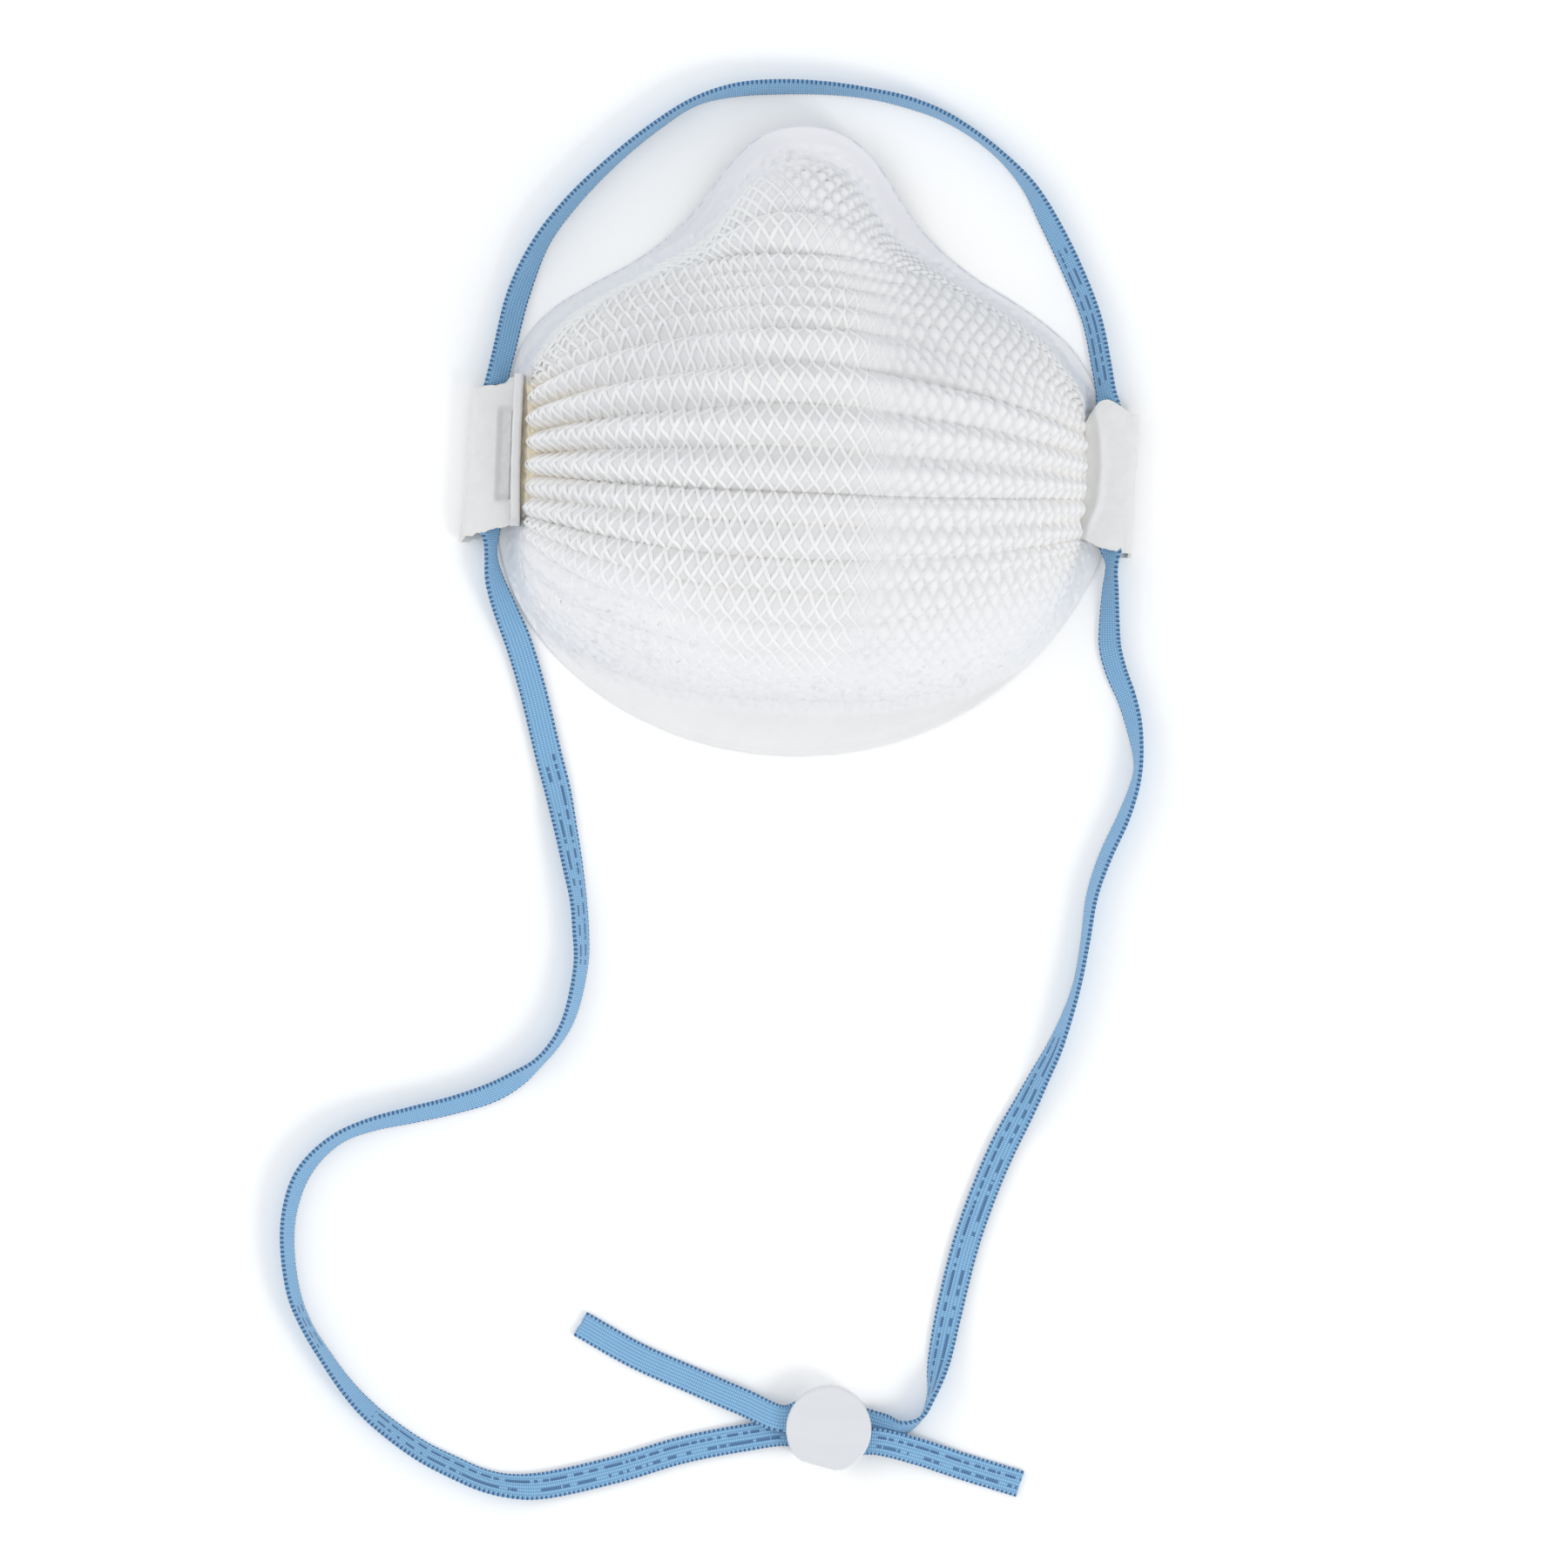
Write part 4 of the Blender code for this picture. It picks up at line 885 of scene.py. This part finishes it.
def make_tab(name, side):
    """A flattened loop of laminate, open at both ends for the strap."""
    rows, left = 120, side < 0
    if left:
        x_out = lambda y: 76.4 + 0.4 * smooth(0, -24, y) + 0.2 * fbm(y / 6, 0 * y, 81)
        x_in = lambda y: 65.5 + 0 * y
        y_top = lambda x: 9.2 + (76.3 - x) * 0.15 + 1.5 * smooth(68.3, 66.3, x) + 0.3 * fbm(x / 1.3, 0 * x, 82)
        y_bot = lambda x: -21.8 - (x - 65) * 0.26 + 0.4 * fbm(x / 1.1, 0 * x, 83)
    else:
        x_out = lambda y: 77.1 - 0.5 * smooth(5, -22, y) + 0.18 * fbm(y / 6, 0 * y, 91)
        x_in = lambda y: 64.3 + 0.5 * np.exp(-((y + 4) / 7) ** 2) + 1.6 * smooth(6, 12.5, y) + 0.15 * fbm(y / 3, 0 * y, 96)
        y_top = lambda x: through(x, [(65.6, 6.0), (66.2, 8.0), (67.0, 10.6), (68.0, 12.0), (69.5, 12.5), (71.2, 12.1), (74.0, 10.8), (77.2, 9.2)]) + 0.15 * fbm(x / 1.6, 0 * x, 92)
        y_bot = lambda x: -21.4 - 0.2 * max(x - 70.2, 0) + 0.47 * max(70.2 - x, 0) + 0.3 * fbm(x / 1.3, 0 * x, 93)
    yy = np.linspace(0, 1, rows)
    walls, shades = [], []
    for ply in (0.0, 0.75):
        ring, shade = [], []
        for kind, f in tab_section(side, ply):
            down = np.zeros(rows)
            # the ragged ends are read at this station's own x
            x_guess = 66.0 + 10.5 * (f if kind in ("top", "low") else (1.0 if kind == "out" else 0.0))
            yb, yt = float(y_bot(np.array(x_guess))), float(y_top(np.array(x_guess)))
            under = kind == "low" or (kind == "out" and f > 0.5)
            if under:
                yb -= (1.4 * smooth(69.5, 73.5, x_guess)) if left else (1.0 * smooth(71, 74, x_guess))
            y = yb + (yt - yb) * yy
            xi, xo = x_in(y) + ply, x_out(y) - ply
            if under:
                xo = xo + (0.9 * smooth(-19, -25, y) if left else 0)
            r, z_low, z_top = 1.9 - ply, 1.45 + ply, 6.0 - ply
            if kind in ("top", "low"):
                x = xi + 0.5 + (xo - r - xi - 0.5) * f
                z = np.full_like(y, z_top if kind == "top" else z_low)
            elif kind == "out":
                ang = math.pi / 2 - math.pi * f
                x = xo - r + r * math.cos(ang) + 0.12 * fbm(y / 2.0, 0 * y, 87)
                z = (z_low + z_top) / 2 + (z_top - z_low) / 2 * math.sin(ang) + 0 * y
            else:
                ang = -math.pi / 2 - math.pi * f
                x = xi + 0.5 + 0.5 * math.cos(ang)
                high = z_top if left else 5.2 - ply * 0.8
                z = (z_low + high) / 2 + (high - z_low) / 2 * math.sin(ang) + 0 * y
            if kind == "top":
                z = z + 0.35 * math.sin(math.pi * f) + 0.18 * fbm(x / 5, y / 5, 84 + side) + 0.07 * fbm(x / 1.2, y / 1.2, 86 + side)
                z = z - 0.25 * smooth(2.5, 0, y - yb) - 0.2 * smooth(2.0, 0, yt - y)
                if left:
                    weld = smooth(65.6, 66.4, x) * smooth(70.0, 68.5, x) * smooth(-17.2, -15.4, y) * smooth(5.7, 3.7, y)
                    z = z - weld * (1.35 + 0.55 * np.exp(-((y + 15.9) / 0.9) ** 2) + 0.12 * fbm(x / 0.9, y / 0.9, 88))
                else:
                    # the inner side rolls down to the foot of the cup
                    crest = through(y, [(-23, 65.3), (-16.8, 66.4), (-11.4, 68.2), (-4.2, 68.85), (2, 68.5), (6.5, 67.9), (9.5, 66.8), (13, 66.0)])
                    down = np.clip((crest - x) / np.maximum(crest - xi - 0.5, 0.5), 0, 1)
                    z = z + 0.75 * np.exp(-((x - crest) / 1.1) ** 2) * smooth(-21, -12, y) * smooth(12, 6, y) - (z - 5.2 + ply * 0.8) * down
            ring.append(np.stack([x, y, z], -1))
            shade.append(down)
        walls.append(np.array(ring))
        shades.append(np.array(shade))
    outer, inner_ = walls
    n, m = outer.shape[:2]
    pts = np.concatenate([outer, inner_], 0)
    i = np.arange(n)
    i2 = (i + 1) % n
    bottom = np.stack([i * m, i2 * m, n * m + i2 * m, n * m + i * m], 1)
    top = np.stack([i * m + m - 1, n * m + i * m + m - 1, n * m + i2 * m + m - 1, i2 * m + m - 1], 1)
    faces = np.concatenate([grid_faces(n, m, 0, wrap_rows=True), grid_faces(n, m, n * m, wrap_rows=True, flip=True), bottom[:, ::-1], top[:, ::-1]])
    pts = pts.reshape(-1, 3).copy()
    if left:
        pts[:, 0] *= -1
        faces = faces[:, ::-1]
    obj = new_mesh(name, pts, [faces], TAB, slot="laminate", sharp=60)
    ends = np.clip(1 - np.minimum(np.arange(m), np.arange(m)[::-1]) / 2.0, 0, 1)
    # warm tint at the open ends, plus painted shade on the right tab's rolled-down inner lip
    attribute(obj, "warm", np.tile(ends * 0.4, 2 * n) + 0.3 * np.concatenate([np.clip(w.ravel(), 0, 1) for w in shades]))
    if not left:
        return obj
    # The fold that stands up along the cup: two welded plies, built as one strip with a flat top.
    yf = np.linspace(0, 1, 130)
    lo, hi, tall, base_x, thick = -22.2, 12.6, 8.4, 65.15, 2.15
    section = [(-0.5, 0.0), (-0.52, 0.5), (-0.5, 0.86), (-0.42, 0.97), (-0.28, 1.0), (-0.12, 1.0), (0.0, 1.0), (0.12, 1.0), (0.28, 1.0),
               (0.42, 0.97), (0.5, 0.86), (0.52, 0.5), (0.5, 0.0)]
    ring = []
    for a_, b_ in section:
        y = lo + (hi - lo) * yf
        lean = 0.2 * fbm(y / 7, 0 * y, 94) - 0.55 * smooth(-8, -22, y)
        top_z = tall + 0.3 * fbm(y / 4, 0 * y, 96) - 1.5 * smooth(2.2, 0, y - lo) - 0.5 * smooth(1.5, 0, hi - y)
        z = 1.6 + (top_z - 1.6) * b_
        x = base_x + a_ * thick + lean * b_ + 0.07 * fbm(y / 1.1, z / 1.1, 99)
        ring.append(np.stack([x, y + 0.25 * (b_ - 0.5), z], -1))
    ring = np.array(ring)
    n2, m2 = ring.shape[:2]
    pts2 = ring.reshape(-1, 3) * (-1, 1, 1)
    f2 = grid_faces(n2, m2, wrap_rows=True)[:, ::-1]
    caps = [(np.arange(n2) * m2)[None, ::-1], (np.arange(n2) * m2 + m2 - 1)[None, :]]
    fold = new_mesh(name + "_fold", pts2, [f2, caps[0], caps[1]], TAB, slot="laminate", sharp=60)
    attribute(fold, "warm", np.zeros(len(pts2)))
    return obj


left_tab = make_tab("left_tab_loop", -1)
right_tab = make_tab("right_tab_loop", 1)
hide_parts("left_strap_tab")
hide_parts("right_strap_tab")

# =============================================================== the buckle
BUCKLE_AT, BUCKLE_TURN = (15.7, -225.8), math.radians(-13.1)


def buckle_frame(p):
    c, s = math.cos(BUCKLE_TURN), math.sin(BUCKLE_TURN)
    x, y, z = p[..., 0], p[..., 1], p[..., 2]
    return np.stack([BUCKLE_AT[0] + c * x - s * y, BUCKLE_AT[1] + s * x + c * y, z], -1)


def chord_outline(r, flat, count):
    """A circle with one straight edge whose two corners are softened."""
    th = np.arange(count) * 2 * math.pi / count
    x, y = r * np.cos(th), r * np.sin(th)
    k = 5.0
    y = np.where(y < -flat + 3, -flat + np.log1p(np.exp(np.clip((y + flat) * k, -50, 50))) / k, y)
    return np.stack([x, y], -1)


def make_cap():
    count = 240
    profile = [(3.0, 6.93), (6.0, 6.93), (8.0, 6.93), (8.9, 6.94), (9.12, 6.98), (9.28, 7.0), (9.42, 6.99), (9.55, 6.92),
               (9.68, 6.78), (9.77, 6.55), (9.8, 6.2), (9.8, 5.45), (9.76, 5.25), (9.65, 5.12), (9.4, 5.08), (8.0, 5.08), (4.0, 5.08)]
    rings = []
    for r, z in profile:
        o = chord_outline(r, 8.5 * r / 9.8 if r > 8.5 else 8.9, count)
        rings.append(np.concatenate([o, np.full((count, 1), z)], 1))
    pts = np.array(rings)
    n = len(rings)
    allp = np.concatenate([pts.reshape(-1, 3), [[0, 0, 6.93]], [[0, 0, 5.08]]])
    j = np.arange(count)
    j2 = (j + 1) % count
    capa = np.stack([np.full(count, n * count), j, j2], 1)
    last = (n - 1) * count
    capb = np.stack([np.full(count, n * count + 1), last + j2, last + j], 1)
    obj = new_mesh("buckle_disc", buckle_frame(allp), [grid_faces(n, count, wrap_cols=True, flip=True), np.concatenate([capa, capb])],
                   PLASTIC, body="buckle", slot="plastic", sharp=60)
    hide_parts("buckle_cap")
    return obj


cap = make_cap()
# The base keeps its CAD shape, softened at its edges.
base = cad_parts["buckle_base"]
base.data.materials.clear()
base.data.materials.append(PLASTIC)
soften = base.modifiers.new("soft_edges", "BEVEL")
soften.width, soften.segments, soften.limit_method, soften.angle_limit = 0.25 * MM, 2, "ANGLE", math.radians(50)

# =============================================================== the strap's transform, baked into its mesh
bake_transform(strap)

# =============================================================== table and light
floor_mesh = bpy.data.meshes.new("table")
floor_mesh.from_pydata([(-3, -3, 0), (3, -3, 0), (3, 3, 0), (-3, 3, 0)], [], [(0, 1, 2, 3)])
floor = bpy.data.objects.new("table", floor_mesh)
scene.collection.objects.link(floor)
floor.location = (0, -0.08, -0.0001)
m, t, s = shader_of("pale_table")
s.inputs["Base Color"].default_value = (0.985, 0.985, 0.98, 1)
s.inputs["Roughness"].default_value = 0.9
s.inputs["Specular IOR Level"].default_value = 0.2
floor_mesh.materials.append(m)

world = bpy.data.worlds.new("studio")
scene.world = world
world.use_nodes = True
world.node_tree.nodes["Background"].inputs["Color"].default_value = (0.965, 0.98, 1.0, 1)
world.node_tree.nodes["Background"].inputs["Strength"].default_value = 0.885


def area(name, location, size, power, colour=(1, 1, 1)):
    data = bpy.data.lights.new(name, "AREA")
    data.energy, data.size, data.color = power, size, colour
    obj = bpy.data.objects.new(name, data)
    scene.collection.objects.link(obj)
    obj.location = location
    obj.rotation_euler = (Vector((0, -0.06, 0.0)) - Vector(location)).to_track_quat("-Z", "Y").to_euler()
    return obj


area("key", (1.15, -0.95, 1.15), 0.5, 8.0, (1.0, 0.985, 0.96))
area("fill", (-1.2, 0.25, 0.95), 1.0, 4.0, (0.97, 0.98, 1.0))
scene.view_settings.view_transform = "Standard"
scene.view_settings.look = "None"
scene.view_settings.exposure = 0.0
